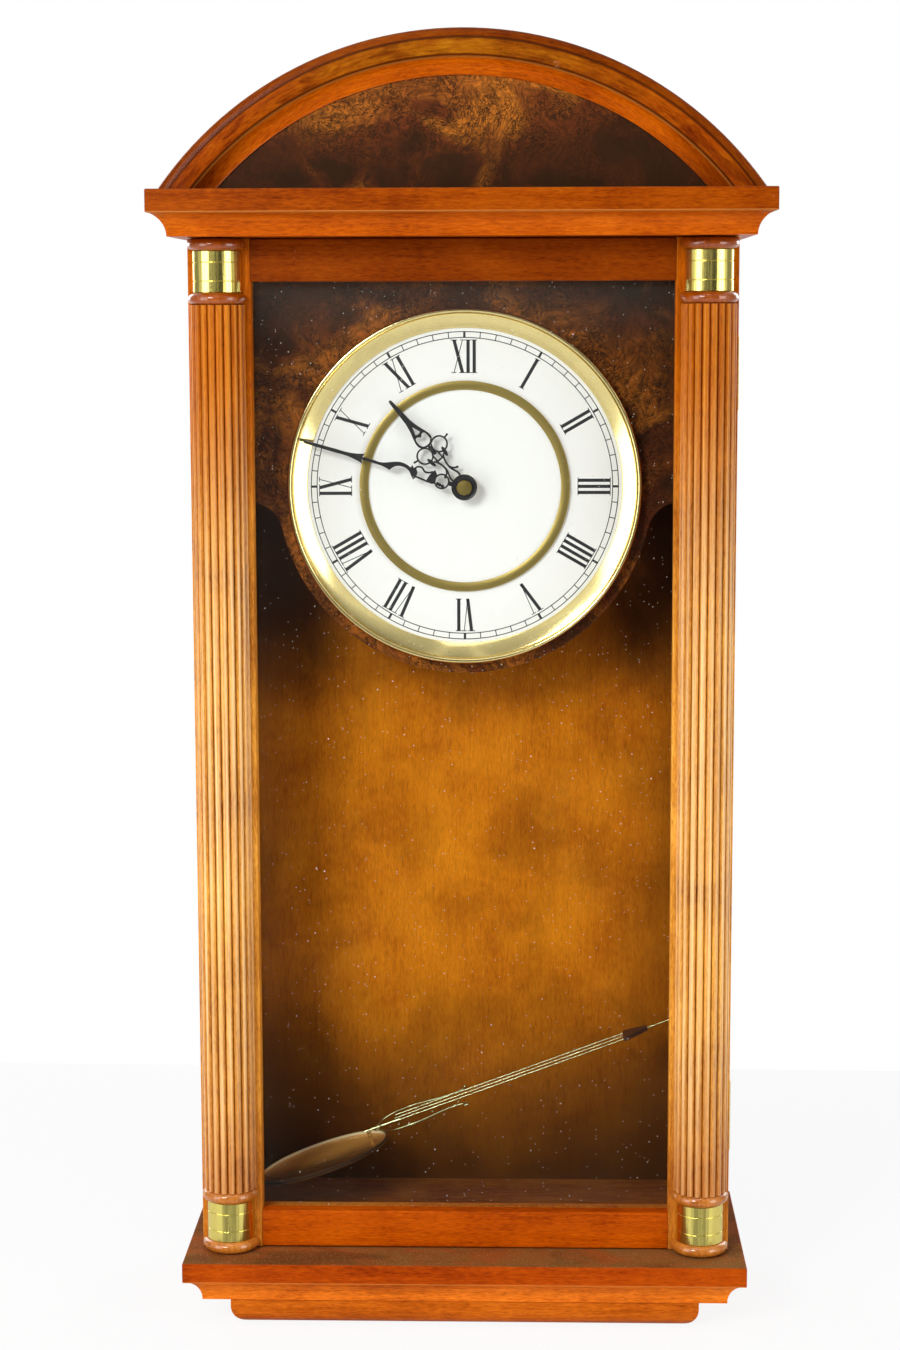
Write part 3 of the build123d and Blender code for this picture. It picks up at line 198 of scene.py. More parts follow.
class Finish:
    """A material, or the room's world, that is built node by node"""

    def __init__(self, name, world=False):
        self.owner = (bpy.data.worlds if world else bpy.data.materials).new(name)
        self.owner.use_nodes = True
        self.tree = self.owner.node_tree
        self.tree.nodes.clear()
        self.end = "ShaderNodeOutputWorld" if world else "ShaderNodeOutputMaterial"
        self.at = self.node("ShaderNodeTexCoord", output="Generated" if world else "Object")

    def node(self, kind, set_first=None, inputs=(), output=0):
        """Add any node: its own settings first, then the values or links of its sockets."""
        made = self.tree.nodes.new(kind)
        for key, value in (set_first or {}).items():
            if key == "stops":
                ramp = made.color_ramp
                while len(ramp.elements) < len(value):
                    ramp.elements.new(0.5)
                for element, (place, colour) in zip(ramp.elements, value):
                    element.position = place
                    element.color = (*colour, 1.0)
            elif key == "change":
                made.color_ramp.interpolation = value
            else:
                setattr(made, key, value)
        pairs = inputs.items() if isinstance(inputs, dict) else enumerate(inputs)
        for key, value in pairs:
            if isinstance(value, Value):
                self.tree.links.new(value.socket, made.inputs[key])
            else:
                made.inputs[key].default_value = value
        return Value(self, made.outputs[output]) if made.outputs else None

    def parts(self, vector=None):
        """The three numbers of a vector, by default the place on the object in metres."""
        first = self.node("ShaderNodeSeparateXYZ", inputs=(vector or self.at,))
        outputs = first.socket.node.outputs
        return [Value(self, socket) for socket in outputs]

    def distance(self, across, up):
        """How far a place is from an axis, by its two offsets from it."""
        return (across * across + up * up).maths("SQRT")

    def along(self, vector, direction):
        """How far a vector reaches in a direction."""
        return self.node("ShaderNodeVectorMath", {"operation": "DOT_PRODUCT"},
                         (vector, tuple(direction)), "Value")

    def vector(self, x, y, z):
        return self.node("ShaderNodeCombineXYZ", inputs=(x, y, z))

    def mapped(self, scale, turn=(0, 0, 0), offset=(0, 0, 0), vector=None):
        return self.node("ShaderNodeMapping", inputs={
            "Vector": vector or self.at, "Scale": scale, "Rotation": turn, "Location": offset})

    def noise(self, scale, detail=3.0, rough=0.5, twist=0.0, vector=None, output="Fac"):
        return self.node("ShaderNodeTexNoise", inputs={
            "Vector": vector or self.at, "Scale": scale, "Detail": detail, "Roughness": rough,
            "Distortion": twist}, output=output)

    def cells(self, scale, vector=None, output="Distance"):
        return self.node("ShaderNodeTexVoronoi", inputs={
            "Vector": vector or self.at, "Scale": scale}, output=output)

    def ramp(self, value, *stops):
        return self.node("ShaderNodeValToRGB", {"stops": stops}, (value,))

    def blend(self, share, first, second, mode="MIX"):
        """Two colours mixed; a plain colour is three numbers."""
        colours = [c if isinstance(c, Value) else (*c, 1.0) for c in (first, second)]
        return self.node("ShaderNodeMix", {"data_type": "RGBA", "blend_type": mode, "clamp_factor": True},
                         {0: share, 6: colours[0], 7: colours[1]}, output=2)

    def tint(self, share, colour, stain):
        return self.blend(share, colour, stain, "MULTIPLY")

    def shift(self, vector, amount, push):
        """Move a place by a colour's difference from mid grey."""
        centred = self.node("ShaderNodeVectorMath", {"operation": "SUBTRACT"}, (push, (0.5, 0.5, 0.5)))
        scaled = self.node("ShaderNodeVectorMath", {"operation": "SCALE"}, {0: centred, "Scale": amount})
        return self.node("ShaderNodeVectorMath", {"operation": "ADD"}, (vector, scaled))

    def bump(self, height, distance, strength=0.5):
        return self.node("ShaderNodeBump", inputs={
            "Strength": strength, "Distance": distance, "Height": height}, output="Normal")

    def surface(self, **sockets):
        """The finish itself. Underscores in a socket's name stand for spaces."""
        inputs = {key.replace("_", " "): value for key, value in sockets.items()}
        inputs = {key: (*value, 1.0) if isinstance(value, tuple) and len(value) == 3 else value
                  for key, value in inputs.items()}
        return self.node("ShaderNodeBsdfPrincipled", inputs=inputs)

    def done(self, surface):
        self.node(self.end, inputs={"Surface": surface})
        return self.owner


# Finishes
def scaled(colour, share):
    return tuple(share * v for v in colour)


def shades(colour, dark, light):
    """A deeper and a lighter relative of a stain."""
    r, g, b = colour
    return (r * dark, g * dark ** 1.5, b * dark ** 1.5), (r * light, g * light ** 1.6, b * light ** 2.5)


def stretched(across, lengthwise, along):
    """A texture's scale that differs along one axis."""
    scale = [across] * 3
    scale[along] = lengthwise
    return scale


def wood_tone(f, at, along):
    """Fibres, streaks, pores and clouds of a straight-grained board, around one half."""
    scale = stretched(110.0, 6.0, along)
    fibre = f.noise(1.0, 5.0, 0.60, 0.5, f.mapped(scale, vector=at))
    streak = f.noise(5.0, 4.0, 0.60, 0.3, f.mapped(scale, vector=at))
    pore = f.noise(1.0, 3.0, 0.65, 0.2, f.mapped(stretched(1300.0, 210.0, along), vector=at))
    cloud = f.noise(19.0, 4.0, 0.55, 0.6, at)
    return fibre * 0.16 + streak * 0.22 + pore * 0.34 + cloud * 0.28


def short_flecks(f, at, along):
    """Fine dark dashes along the grain."""
    return f.noise(1.0, 3.0, 0.65, 0.0, f.mapped(stretched(900.0, 165.0, along), vector=at)).soft(0.54, 0.68)


def round_arch(f):
    """Place on the arch as length along it, depth and radius."""
    x, y, z = f.parts()
    up = z - ARCH_CENTRE.z
    out = f.distance(x, up)
    return f.vector(x.maths("ARCTAN2", up) * ARCH_RADIUS, y, out), out


def line_at(value, place, half):
    """1 on a thin line and 0 away from it."""
    return 1 - abs(value - place).soft(half * 0.4, half)


def stained_wood(name, colour, along, gloss=0.36, coat=0.02, shine=0.04, dust=0.0, wear=0.0, shape=None,
                 hollow=None, hollow_painted_light=(1.52, 1.62, 3.5)):
    """Stained wood. Shape is arch for bent grain, reeds for a fluted column, or stile.

    Hollow is the level below which a board's moulding is painted lighter, as painted light on its cove, with
    a painted highlight line along that level."""
    f = Finish(name)
    at = f.at
    if shape == "arch":
        at, out = round_arch(f)
    tone = wood_tone(f, at, along)
    dark, light = shades(colour, 0.46, 1.40)
    base = f.ramp(tone, (0.37, dark), (0.50, colour), (0.63, light))
    flecks = short_flecks(f, at, along)
    base = f.blend(flecks * 0.32, base, scaled(dark, 0.8))
    rough = tone * 0.3 + gloss - 0.15
    if hollow is not None:
        level = f.parts()[2]
        # Painted light: the cove below the hollow level is tinted lighter, and a thin painted highlight line
        # runs along its edge.
        below = 1 - level.soft(hollow - 0.0008, hollow + 0.0002)
        base = f.tint(below, base, hollow_painted_light)
        base = f.blend(line_at(level, hollow, 0.0007) * 0.5, base, (0.62, 0.24, 0.05))
    if shape == "arch":
        base = arch_stain(f, base, at, out, colour)
    if shape == "reeds":
        base, coat = reed_stain(f, base, colour)
    if shape == "stile":
        base = end_stain_and_shade(f, base)[0]
    if wear:
        scuff = f.noise(85.0, 7.0, 0.78).soft(0.67, 0.71) * f.noise(9.0, 2.0).soft(0.46, 0.58)
        base = f.blend(scuff * wear, base, (0.80, 0.58, 0.36))
    if dust:
        facing = f.node("ShaderNodeNewGeometry", output="Normal")
        lift = f.parts(facing)[2].soft(0.75, 0.97)
        settled = f.noise(24.0, 7.0, 0.68, 0.8).soft(0.34, 0.66)
        grime = f.noise(1.0, 3.0, 0.5, 0.6, f.mapped((17, 30, 17))).soft(0.48, 0.64)
        veil = lift * (settled * 0.45 + 0.45) * dust
        base = f.blend(veil, base, (0.210, 0.104, 0.026))
        base = f.blend(lift * grime * 0.5 * dust, base, (0.060, 0.026, 0.007))
        grit = f.noise(1100.0, 2.0).soft(0.60, 0.68)
        base = f.blend(lift * grit * 0.4 * dust, base, (0.50, 0.36, 0.22))
        rough = rough + veil * 0.6
    normal = f.bump(tone * 0.6 - flecks * 0.4, 0.00010, 0.30)
    return f.done(f.surface(
        Base_Color=base, Roughness=rough, Normal=normal, Coat_Weight=coat, Coat_Roughness=0.08,
        Specular_IOR_Level=shine))


def arch_stain(f, base, at, out, colour):
    """Painted shade on the bead and in the quirks, a flamed flat, and a hollow painted lighter as painted
    light, with painted shade deep in it and at its ends and a painted highlight along its edge, by radius on
    the arch.
    """
    flat = ARCH_RADIUS - ARCH_BEAD
    edge = flat - ARCH_FLAT
    # Painted shade: the bead that slopes back is tinted darker.
    bead = out.soft(flat - 0.0004, flat + 0.0010)
    base = f.tint(bead, base, (0.74, 0.80, 0.90))
    # Painted light: the hollow is tinted much paler.
    hollow = 1 - out.soft(edge - 0.0016, edge - 0.0006)
    base = f.tint(hollow, base, (1.80, 2.00, 1.6))
    # Painted shade deep in the hollow and at its two ends.
    deep = 1 - out.soft(edge - 0.0098, edge - 0.0030)
    far = abs(f.parts()[0]).soft(0.100, 0.136) * hollow
    base = f.tint(deep * 0.45, base, (0.50, 0.44, 0.40))
    base = f.tint(far * 0.9, base, (0.40, 0.34, 0.32))
    band = out.soft(edge - 0.0003, edge + 0.0007) * (1 - bead)
    apex = (1 - abs(f.parts()[0]).soft(0.035, 0.120)) * band
    base = f.tint(apex, base, (0.90, 1.28, 2.2))
    slant = (0, 0.5, 0)
    flame = f.noise(1.0, 4.0, 0.6, 1.2, f.mapped((30, 60, 110), slant, vector=at)).soft(0.47, 0.66)
    glow = f.noise(1.0, 3.0, 0.6, 0.8, f.mapped((22, 40, 70), slant, (0.3, 0, 0.5), at)).soft(0.46, 0.68)
    base = f.tint(glow * band, base, (1.30, 1.70, 2.0))
    base = f.tint(flame * band, base, (0.62, 0.52, 0.45))
    # Painted shade in the two quirks.
    quirk_shade = line_at(out, flat, 0.0011) + line_at(out, edge, 0.0007)
    base = f.blend(quirk_shade * 0.75, base, scaled(colour, 0.16))
    # Painted highlight: a thin pale line along the hollow's edge.
    return f.blend(line_at(out, edge - 0.0008, 0.0006) * 0.4, base, (0.62, 0.26, 0.05))


def end_stain_and_shade(f, base):
    """A deeper stain and painted shade towards the ends of a column or a stile."""
    z = f.parts()[2]
    # Deeper stain and painted shade, strongest at the top under the cornice.
    upper = z.soft(SHAFT_MIDDLE + 0.045, SHAFT_MIDDLE + 0.215)
    lower = 1 - z.soft(SHAFT_MIDDLE - 0.245, SHAFT_MIDDLE - 0.150)
    base = f.tint(upper, base, (0.62, 0.33, 0.03))
    return f.tint(lower, base, (0.70, 0.52, 0.40)), upper


def reed_stain(f, base, colour):
    """Painted shade in the valleys, painted highlights on the crests, and the ends' deeper stain with painted
    shade on a column, and how its lacquer shines.
    """
    x, y, z = f.parts()
    aside = abs(x) - COLUMN_X
    ahead = y - DOOR_FRONT
    out = f.distance(aside, ahead)
    shaft = 1 - (abs(z - SHAFT_MIDDLE) - SHAFT_HALF).soft(-0.0002, 0.0002)
    # Painted shade in the valleys between the reeds.
    valley_shade = 1 - out.soft(12.7 * MM, 13.7 * MM)
    base = f.blend(valley_shade * shaft * 0.95, base, scaled(colour, 0.11))
    own = f.noise(1.0, 2.0, 0.5, 0.0, f.mapped((430, 430, 1.6))).soft(0.40, 0.60)
    # Painted highlight on the reeds' crests, broken up by noise.
    highlight_breakup = f.noise(1.0, 4.0, 0.6, 0.0, f.mapped((900, 900, 14))).soft(0.36, 0.60)
    crest = out.soft(13.85 * MM, 14.50 * MM) * shaft * (highlight_breakup * 0.55 + 0.45)
    base = f.tint(own * shaft * 0.55, base, (0.74, 0.62, 0.42))
    base = f.blend(crest * (1 - own * 0.55) * 0.85, base, tuple(min(1.0, 1.40 * v + 0.26) for v in colour))
    base, upper = end_stain_and_shade(f, base)
    # The upper rings get more of the deeper stain and painted shade.
    base = f.tint((1 - shaft) * upper, base, (0.66, 0.55, 0.50))
    return base, 1 - shaft * (upper * 0.45 + 0.50)


def plain_back(f, base, node):
    """Bare pressed board behind a veneered or sprayed face."""
    behind = f.parts()[1].soft(low(node).y + 0.0008, low(node).y + 0.0012)
    speckle = f.noise(650.0, 4.0, 0.7) * 0.55 + f.noise(14.0, 3.0, 0.5) * 0.45
    board = f.ramp(speckle, (0.38, (0.105, 0.052, 0.022)), (0.50, (0.180, 0.095, 0.042)),
                   (0.64, (0.270, 0.155, 0.075)))
    return f.blend(behind, base, board)


def burl_veneer(name, node, centre, reach, rise, fade, seed):
    """Swirled burl: warm patches with flowing lines and dark squiggles, red and dark clouds, round eyes."""
    f = Finish(name)
    c = settings().colours
    x, _, z = f.parts()
    at = f.mapped((1, 1, 1), offset=seed)
    flow = f.shift(at, 0.045, f.noise(14.0, 2.0, 0.5, vector=at, output="Color"))
    swirl = f.shift(flow, 0.012, f.noise(60.0, 3.0, 0.6, vector=flow, output="Color"))
    patch = f.noise(21.0, 4.0, 0.55, 0.6, flow)
    aside = f.mapped((1, 1, 1), offset=(0.4, 0.1, 0.7), vector=flow)
    redden = f.noise(33.0, 3.0, 0.5, 0.5, aside).soft(0.40, 0.58)
    across = (x - centre[0]) / reach
    height = (z - centre[1]) / rise
    spray = (f.distance(across, height) + patch * 0.6 - 0.3).soft(fade, fade + 0.60)
    glow = (patch - spray * 0.13 + 0.04).soft(0.36, 0.62)
    red = tuple(a * 0.62 + b * 0.38 for a, b in zip(c.burl_dark, (0.26, 0.052, 0.011)))
    brown = tuple(a * 0.50 + b * 0.50 for a, b in zip(c.burl_dark, c.burl_light))
    base = f.ramp(glow, (0.10, c.burl_dark), (0.40, red), (0.65, brown), (0.95, c.burl_light))
    base = f.blend(redden * 0.60, base, red)
    rings = (f.noise(17.0, 4.0, 0.5, 0.0, swirl) * 210.0).maths("SINE")
    base = f.blend(rings.soft(0.1, 0.95) * (glow * 0.20 + 0.15), base, scaled(c.burl_dark, 0.9))
    base = f.tint(rings.soft(-0.55, -1.0) * (glow * 0.50 + 0.15), base, (1.45, 1.38, 1.3))
    strokes = f.noise(1.0, 3.0, 0.6, 0.8, f.mapped((380, 380, 150), (0, 0.9, 0), vector=swirl))
    squiggle = f.noise(340.0, 3.0, 0.55, 1.4, swirl)
    crowd = f.noise(55.0, 2.0, vector=flow).soft(0.40, 0.56)
    fleck = (1 - abs(squiggle - 0.5).soft(0.018, 0.070)) * crowd
    base = f.blend(fleck * 0.85, base, scaled(c.burl_dark, 0.7))
    base = f.blend(strokes.soft(0.53, 0.62) * 0.62, base, c.burl_dark)
    base = f.tint(strokes.soft(0.42, 0.32) * 0.55, base, (1.6, 1.5, 1.3))
    spot = f.cells(22.0, flow)
    lot = f.parts(f.cells(22.0, flow, output="Color"))[0].soft(0.50, 0.52)
    base = f.blend(line_at(spot, 0.105, 0.040) * lot * 0.55, base, red)
    base = f.blend((1 - spot.soft(0.040, 0.070)) * lot * 0.9, base, scaled(c.burl_dark, 0.6))
    base = f.blend(spray * 0.56, base, scaled(c.burl_dark, 0.85))
    base = plain_back(f, base, node)
    normal = f.bump(strokes, 0.0001, 0.12)
    return f.done(f.surface(
        Base_Color=base, Roughness=glow * 0.1 + 0.36, Normal=normal, Coat_Weight=0.015, Coat_Roughness=0.08,
        Specular_IOR_Level=0.04))


def sunburst_panel(name):
    """Stained panel, golden in the middle, smoky and sprayed dark towards its edges, with painted shade at
    its sides and corners, under the dial board and towards its foot.
    """
    f = Finish(name)
    c = settings().colours
    fibre = f.noise(1.0, 5.0, 0.62, 0.3, f.mapped((420, 420, 26)))
    pore = f.noise(1.0, 3.0, 0.65, 0.0, f.mapped((1500, 1500, 260)))
    tone = fibre * 0.20 + pore * 0.36 + f.noise(26.0, 5.0, 0.6, 0.5) * 0.44
    dark, light = shades(c.panel_wood, 0.70, 1.22)
    base = f.ramp(tone, (0.36, dark), (0.50, tuple(c.panel_wood)), (0.64, light))
    x, _, z = f.parts()
    cloud = f.noise(8.0, 4.0, 0.55, 0.6) * 0.08 - 0.04
    # Sprayed stain and painted shade: darker at the sides, the upper corners, under the dial board and at the
    # foot, heel and toe.
    left = (0 - x + cloud).soft(0.050, 0.120)
    right = (x + cloud).soft(0.062, 0.128)
    corner = (z + cloud).soft(-0.255, -0.185) * abs(x + cloud).soft(0.045, 0.100)
    crown = (z + cloud).soft(-0.265, -0.200)
    foot = 1 - (z + cloud).soft(-0.535, -0.372)
    heel = foot * (0 - x + cloud).soft(-0.020, 0.100)
    toe = (1 - (z + cloud).soft(-0.470, -0.400)) * (x + cloud).soft(-0.010, 0.070)
    blotch = f.noise(11.0, 4.0, 0.55, 0.9, f.mapped((1, 1, 0.8), offset=(0.2, 0, 0.6))).soft(0.50, 0.70)
    smoke = f.noise(24.0, 4.0, 0.55, 0.7, f.mapped((1, 1, 0.9), offset=(0.7, 0, 0.1))).soft(0.46, 0.70)
    keep = (1 - left * 0.42) * (1 - right * 0.58) * (1 - corner * 0.88) * (1 - crown * 0.32)
    keep = keep * (1 - foot * 0.90) * (1 - heel * 0.80) * (1 - toe * 0.35)
    keep = keep * (1 - blotch * 0.28) * (1 - smoke * 0.24)
    base = f.blend(1 - keep, base, c.panel_edge_and_shade)
    base = f.blend(short_flecks(f, f.at, 2) * 0.20, base, c.panel_edge_and_shade)
    base = plain_back(f, base, "back_panel")
    return f.done(f.surface(
        Base_Color=base, Roughness=tone * 0.2 + 0.40, Normal=f.bump(tone, 0.0001, 0.15),
        Specular_IOR_Level=0.05))


def spun_brass(name, colour, rough=0.13, along=1, tarnish=0.25, wavy=0.0):
    """Lacquered brass with fine turning marks across one axis, faint tarnish and uneven rolling."""
    f = Finish(name)
    marks = f.noise(1.0, 3.0, 0.6, 0.0, f.mapped(stretched(40.0, 5200.0, along)))
    cloud = f.noise(60.0, 5.0, 0.62, 0.5)
    spots = f.noise(420.0, 3.0, 0.6).soft(0.68, 0.76)
    dull = scaled(colour, 0.70)
    base = f.blend(cloud.soft(0.42, 0.72) * tarnish, tuple(colour), dull)
    base = f.blend(spots * tarnish, base, (0.16, 0.10, 0.04))
    height = marks * 0.02
    if wavy:
        height = height + f.noise(1.0, 3.0, 0.6, 0.0, f.mapped(stretched(420.0, 12.0, along))) * wavy
    return f.done(f.surface(
        Base_Color=base, Metallic=1 - spots * tarnish, Roughness=marks * 0.10 + cloud * 0.10 + rough - 0.08,
        Normal=f.bump(height, 0.001, 0.25)))


def bob_brass(name, bob):
    """Lacquered bob with its light painted on: a rim painted dark on its near side and lit on its far side, a
    painted highlight on the wall at the far side, and a hollow painted as a golden reflection that fades to
    dull brown towards the near side.
    """
    f = Finish(name)
    away = f.node("ShaderNodeVectorMath", {"operation": "SUBTRACT"}, (f.at, tuple(bob.centre)))
    depth = f.along(away, bob.across)
    out = f.distance(f.along(away, bob.along), depth)
    cloud = f.noise(50.0, 4.0, 0.6)
    # Painted reflection: golden towards the far side, dull brown towards the near side.
    painted_reflection = (depth + cloud * 0.012 - 0.006).soft(-0.022, 0.026)
    base = f.blend(painted_reflection, (0.120, 0.055, 0.018), (1.0, 0.540, 0.115))
    # Painted highlight on the wall at the far side.
    wall = out.soft(36.2 * MM, 36.7 * MM) * depth.soft(0.0, 20.0 * MM)
    base = f.blend(wall, base, (1.0, 0.90, 0.56))
    # Rim: painted shade on its near side, painted light on its far side.
    rim = out.soft(37.0 * MM, 37.3 * MM)
    base = f.blend(rim, base, f.blend(depth.soft(0.004, 0.028), (0.040, 0.020, 0.008), (0.72, 0.52, 0.22)))
    return f.done(f.surface(
        Base_Color=base, Metallic=(1 - wall) * (1 - rim) * 0.30, Roughness=cloud * 0.12 + 0.18 + rim * 0.3,
        Specular_IOR_Level=0.15,
        Normal=f.bump(f.noise(1.0, 2.0, vector=f.mapped((40, 2600, 2600))), 0.00002, 0.3)))


def black_enamel(name):
    """Black enamel of the hands, slightly uneven."""
    f = Finish(name)
    c = settings().colours
    cloud = f.noise(300.0, 4.0, 0.6)
    base = f.blend(cloud.soft(0.45, 0.70) * 0.5, tuple(c.ink), (0.030, 0.029, 0.028))
    return f.done(f.surface(
        Base_Color=base, Roughness=cloud * 0.2 + 0.24, Normal=f.bump(cloud, 0.00003, 0.2), Coat_Weight=0.2,
        Coat_Roughness=0.15))


def printed_ink(name):
    """Matt black print."""
    f = Finish(name)
    c = settings().colours
    cloud = f.noise(900.0, 3.0, 0.6)
    base = f.blend(cloud.soft(0.40, 0.75) * 0.4, tuple(c.ink), (0.028, 0.027, 0.026))
    return f.done(f.surface(Base_Color=base, Roughness=cloud * 0.2 + 0.35))


def dial_lacquer(name):
    """White lacquer, a little darker and yellower towards its rim, with faint specks."""
    f = Finish(name)
    c = settings().colours
    x, _, z = f.parts()
    out = f.distance(x, z - DIAL.z)
    cloud = f.noise(35.0, 4.0, 0.5)
    towards_rim = (out + cloud * 0.02).soft(0.062, 0.098) * 0.35
    base = f.blend(towards_rim, tuple(c.dial), (0.82, 0.81, 0.74))
    specks = f.noise(700.0, 2.0, 0.5).soft(0.73, 0.78)
    base = f.blend(specks * 0.35, base, (0.52, 0.47, 0.38))
    return f.done(f.surface(
        Base_Color=base, Roughness=cloud * 0.15 + 0.30, Normal=f.bump(f.noise(1600.0, 2.0), 0.00001, 0.2),
        Specular_IOR_Level=0.15))


def dusty_glass(name):
    """Clear pane with settled dust, a few smears and bright specks."""
    f = Finish(name)
    x, _, z = f.parts()
    foot = high("door_rail_bottom").z
    top = foot + GLASS_HEIGHT
    film = f.noise(9.0, 5.0, 0.6, 0.8).soft(0.45, 0.80)
    smear = f.noise(1.0, 4.0, 0.6, 0.6, f.mapped((9, 1, 60), (0, 0.10, 0), (0.3, 0, 0.9))).soft(0.60, 0.74)
    near_top = z.soft(top - 0.040, top)
    near_foot = 1 - z.soft(foot, foot + 0.022)
    haze = (1 - x.soft(-0.09, 0.02)) * z.soft(top - 0.24, top - 0.10)
    share = near_top * 0.012 + near_foot * 0.004 + film * 0.002 + haze * 0.0025
    share = share + smear * z.soft(top - 0.060, top - 0.015) * x.soft(0.02, 0.08) * 0.06
    sorts = ((70, 0.030, 0.60, 1.0), (190, 0.064, 0.70, 0.9), (420, 0.105, 0.76, 0.8))
    for scale, size, rare, strength in sorts:
        spot = f.cells(scale)
        chance = f.parts(f.cells(scale, output="Color"))
        speck = (1 - spot.soft(size * 0.6, size)) * chance[0].soft(rare, rare + 0.02)
        share = share + speck * strength
    bristle = f.noise(1800.0, 2.0).soft(0.66, 0.74)
    share = share + bristle * (near_top * 0.14 + near_foot * 0.08)
    dust = f.surface(Base_Color=f.blend(film, (0.88, 0.80, 0.66), (0.95, 0.90, 0.80)), Roughness=0.9)
    clear = f.node("ShaderNodeBsdfTransparent", inputs={"Color": (0.985, 0.992, 0.988, 1.0)})
    gloss = f.node("ShaderNodeBsdfGlossy", inputs={"Roughness": 0.02})
    facing = f.node("ShaderNodeFresnel", inputs={"IOR": 1.35})
    pane = f.node("ShaderNodeMixShader", inputs=(facing * 0.3, clear, gloss))
    return f.done(f.node("ShaderNodeMixShader", inputs=(share, pane, dust)))


def plain_finish(name, colour, rough, metallic, grain):
    """Moulded or plated finish with a fine texture and slight handling marks."""
    f = Finish(name)
    cloud = f.noise(grain / 5, 5.0, 0.6)
    fine = f.noise(grain * 6, 2.0, 0.5)
    base = f.blend(cloud.soft(0.35, 0.75) * 0.5, colour, scaled(colour, 0.72))
    return f.done(f.surface(
        Base_Color=base, Metallic=metallic, Roughness=cloud * 0.25 + rough - 0.1,
        Normal=f.bump(fine, 0.00003, 0.3)))


# Modelling helpers
def clear_selection():
    bpy.ops.object.select_all(action="DESELECT")


def edit(piece):
    clear_selection()
    piece.select_set(True)
    bpy.context.view_layer.objects.active = piece
    bpy.ops.object.mode_set(mode="EDIT")
    bpy.ops.mesh.select_all(action="SELECT")


def leave_edit():
    bpy.ops.object.mode_set(mode="OBJECT")


def loop_of(name, points, fill="NOTHING"):
    """A closed loop of edges through the given points."""
    clear_selection()
    bpy.ops.mesh.primitive_circle_add(vertices=len(points), radius=1.0, fill_type=fill)
    piece = bpy.context.object
    piece.name = name
    for vertex, point in zip(piece.data.vertices, points):
        vertex.co = point
    return piece


def tidy_mesh(piece, smooth=32):
    edit(piece)
    bpy.ops.mesh.remove_doubles(threshold=1e-7)
    bpy.ops.mesh.normals_make_consistent(inside=False)
    leave_edit()
    bpy.ops.object.shade_smooth_by_angle(angle=radians(smooth))


def spun(name, points, centre, axis, steps, turn=2 * pi):
    """A profile spun about an axis; a part turn gets closed ends."""
    piece = loop_of(name, points)
    edit(piece)
    bpy.ops.mesh.spin(steps=steps, angle=turn, center=centre, axis=axis, use_auto_merge=True)
    if turn < 2 * pi:
        bpy.ops.mesh.select_all(action="SELECT")
        bpy.ops.mesh.fill_holes(sides=0)
    leave_edit()
    tidy_mesh(piece)
    return piece


def dial_turned(name, profile, steps):
    """A profile of radius and depth, turned about the dial's axis."""
    return spun(name, [(r, y, DIAL.z) for r, y in profile], (0, 0, DIAL.z), (0, 1, 0), steps)


def half_turned(name, x, profile, steps):
    """A profile of radius and height, turned half round on the door's front."""
    return spun(name, [(x - r, DOOR_FRONT, z) for r, z in profile], (x, DOOR_FRONT, 0), (0, 0, -1), steps, pi)


def drawn_out(name, points, push):
    """A closed outline pushed out to a solid."""
    piece = loop_of(name, points, "NGON")
    edit(piece)
    bpy.ops.mesh.extrude_region_move(TRANSFORM_OT_translate={"value": push})
    leave_edit()
    tidy_mesh(piece)
    return piece


def joined(name, pieces):
    clear_selection()
    for piece in pieces:
        piece.select_set(True)
    bpy.context.view_layer.objects.active = pieces[0]
    bpy.ops.object.join()
    pieces[0].name = name
    return pieces[0]


def wear_finish(piece, material):
    piece.data.materials.clear()
    piece.data.materials.append(material)


def settle(piece, body, slot, material, *nodes):
    """Finish a piece, let it ride on its body and stand for its solids."""
    wear_finish(piece, material)
    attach(piece, body)
    if nodes:
        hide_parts(*nodes)
    return piece


def paint(material, *nodes):
    """Give solids that are shown as they are a finish."""
    for name in nodes:
        wear_finish(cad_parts[name], material)


def smoothed(node, body, slot, material, angle=28):
    """A merged copy of a solid, shaded smooth over its hollows and rounds."""
    piece = bpy.data.objects.new("smooth_" + node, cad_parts[node].data.copy())
    bpy.context.scene.collection.objects.link(piece)
    edit(piece)
    bpy.ops.mesh.remove_doubles(threshold=2e-6)
    leave_edit()
    bpy.ops.object.shade_smooth_by_angle(angle=radians(angle))
    weigh = piece.modifiers.new("Weigh", "WEIGHTED_NORMAL")
    weigh.keep_sharp = True
    weigh.weight = 100
    bpy.ops.object.modifier_apply(modifier=weigh.name)
    return settle(piece, body, slot, material, node)


def arc_points(centre, radius, start, end, count):
    """Points on an arc of a flat profile, angles in degrees."""
    turns = [radians(start + (end - start) * index / (count - 1)) for index in range(count)]
    return [(centre[0] + radius * cos(a), centre[1] + radius * sin(a)) for a in turns]


def near(across, deep, *offsets):
    """Points of a flat profile, in millimetres from one of its corners."""
    return [(across + a * MM, deep + d * MM) for a, d in offsets]


# Operators
class ClockOperator(bpy.types.Operator):
    """Shared options of the wall clock's operators"""
    bl_options = {"REGISTER", "UNDO"}


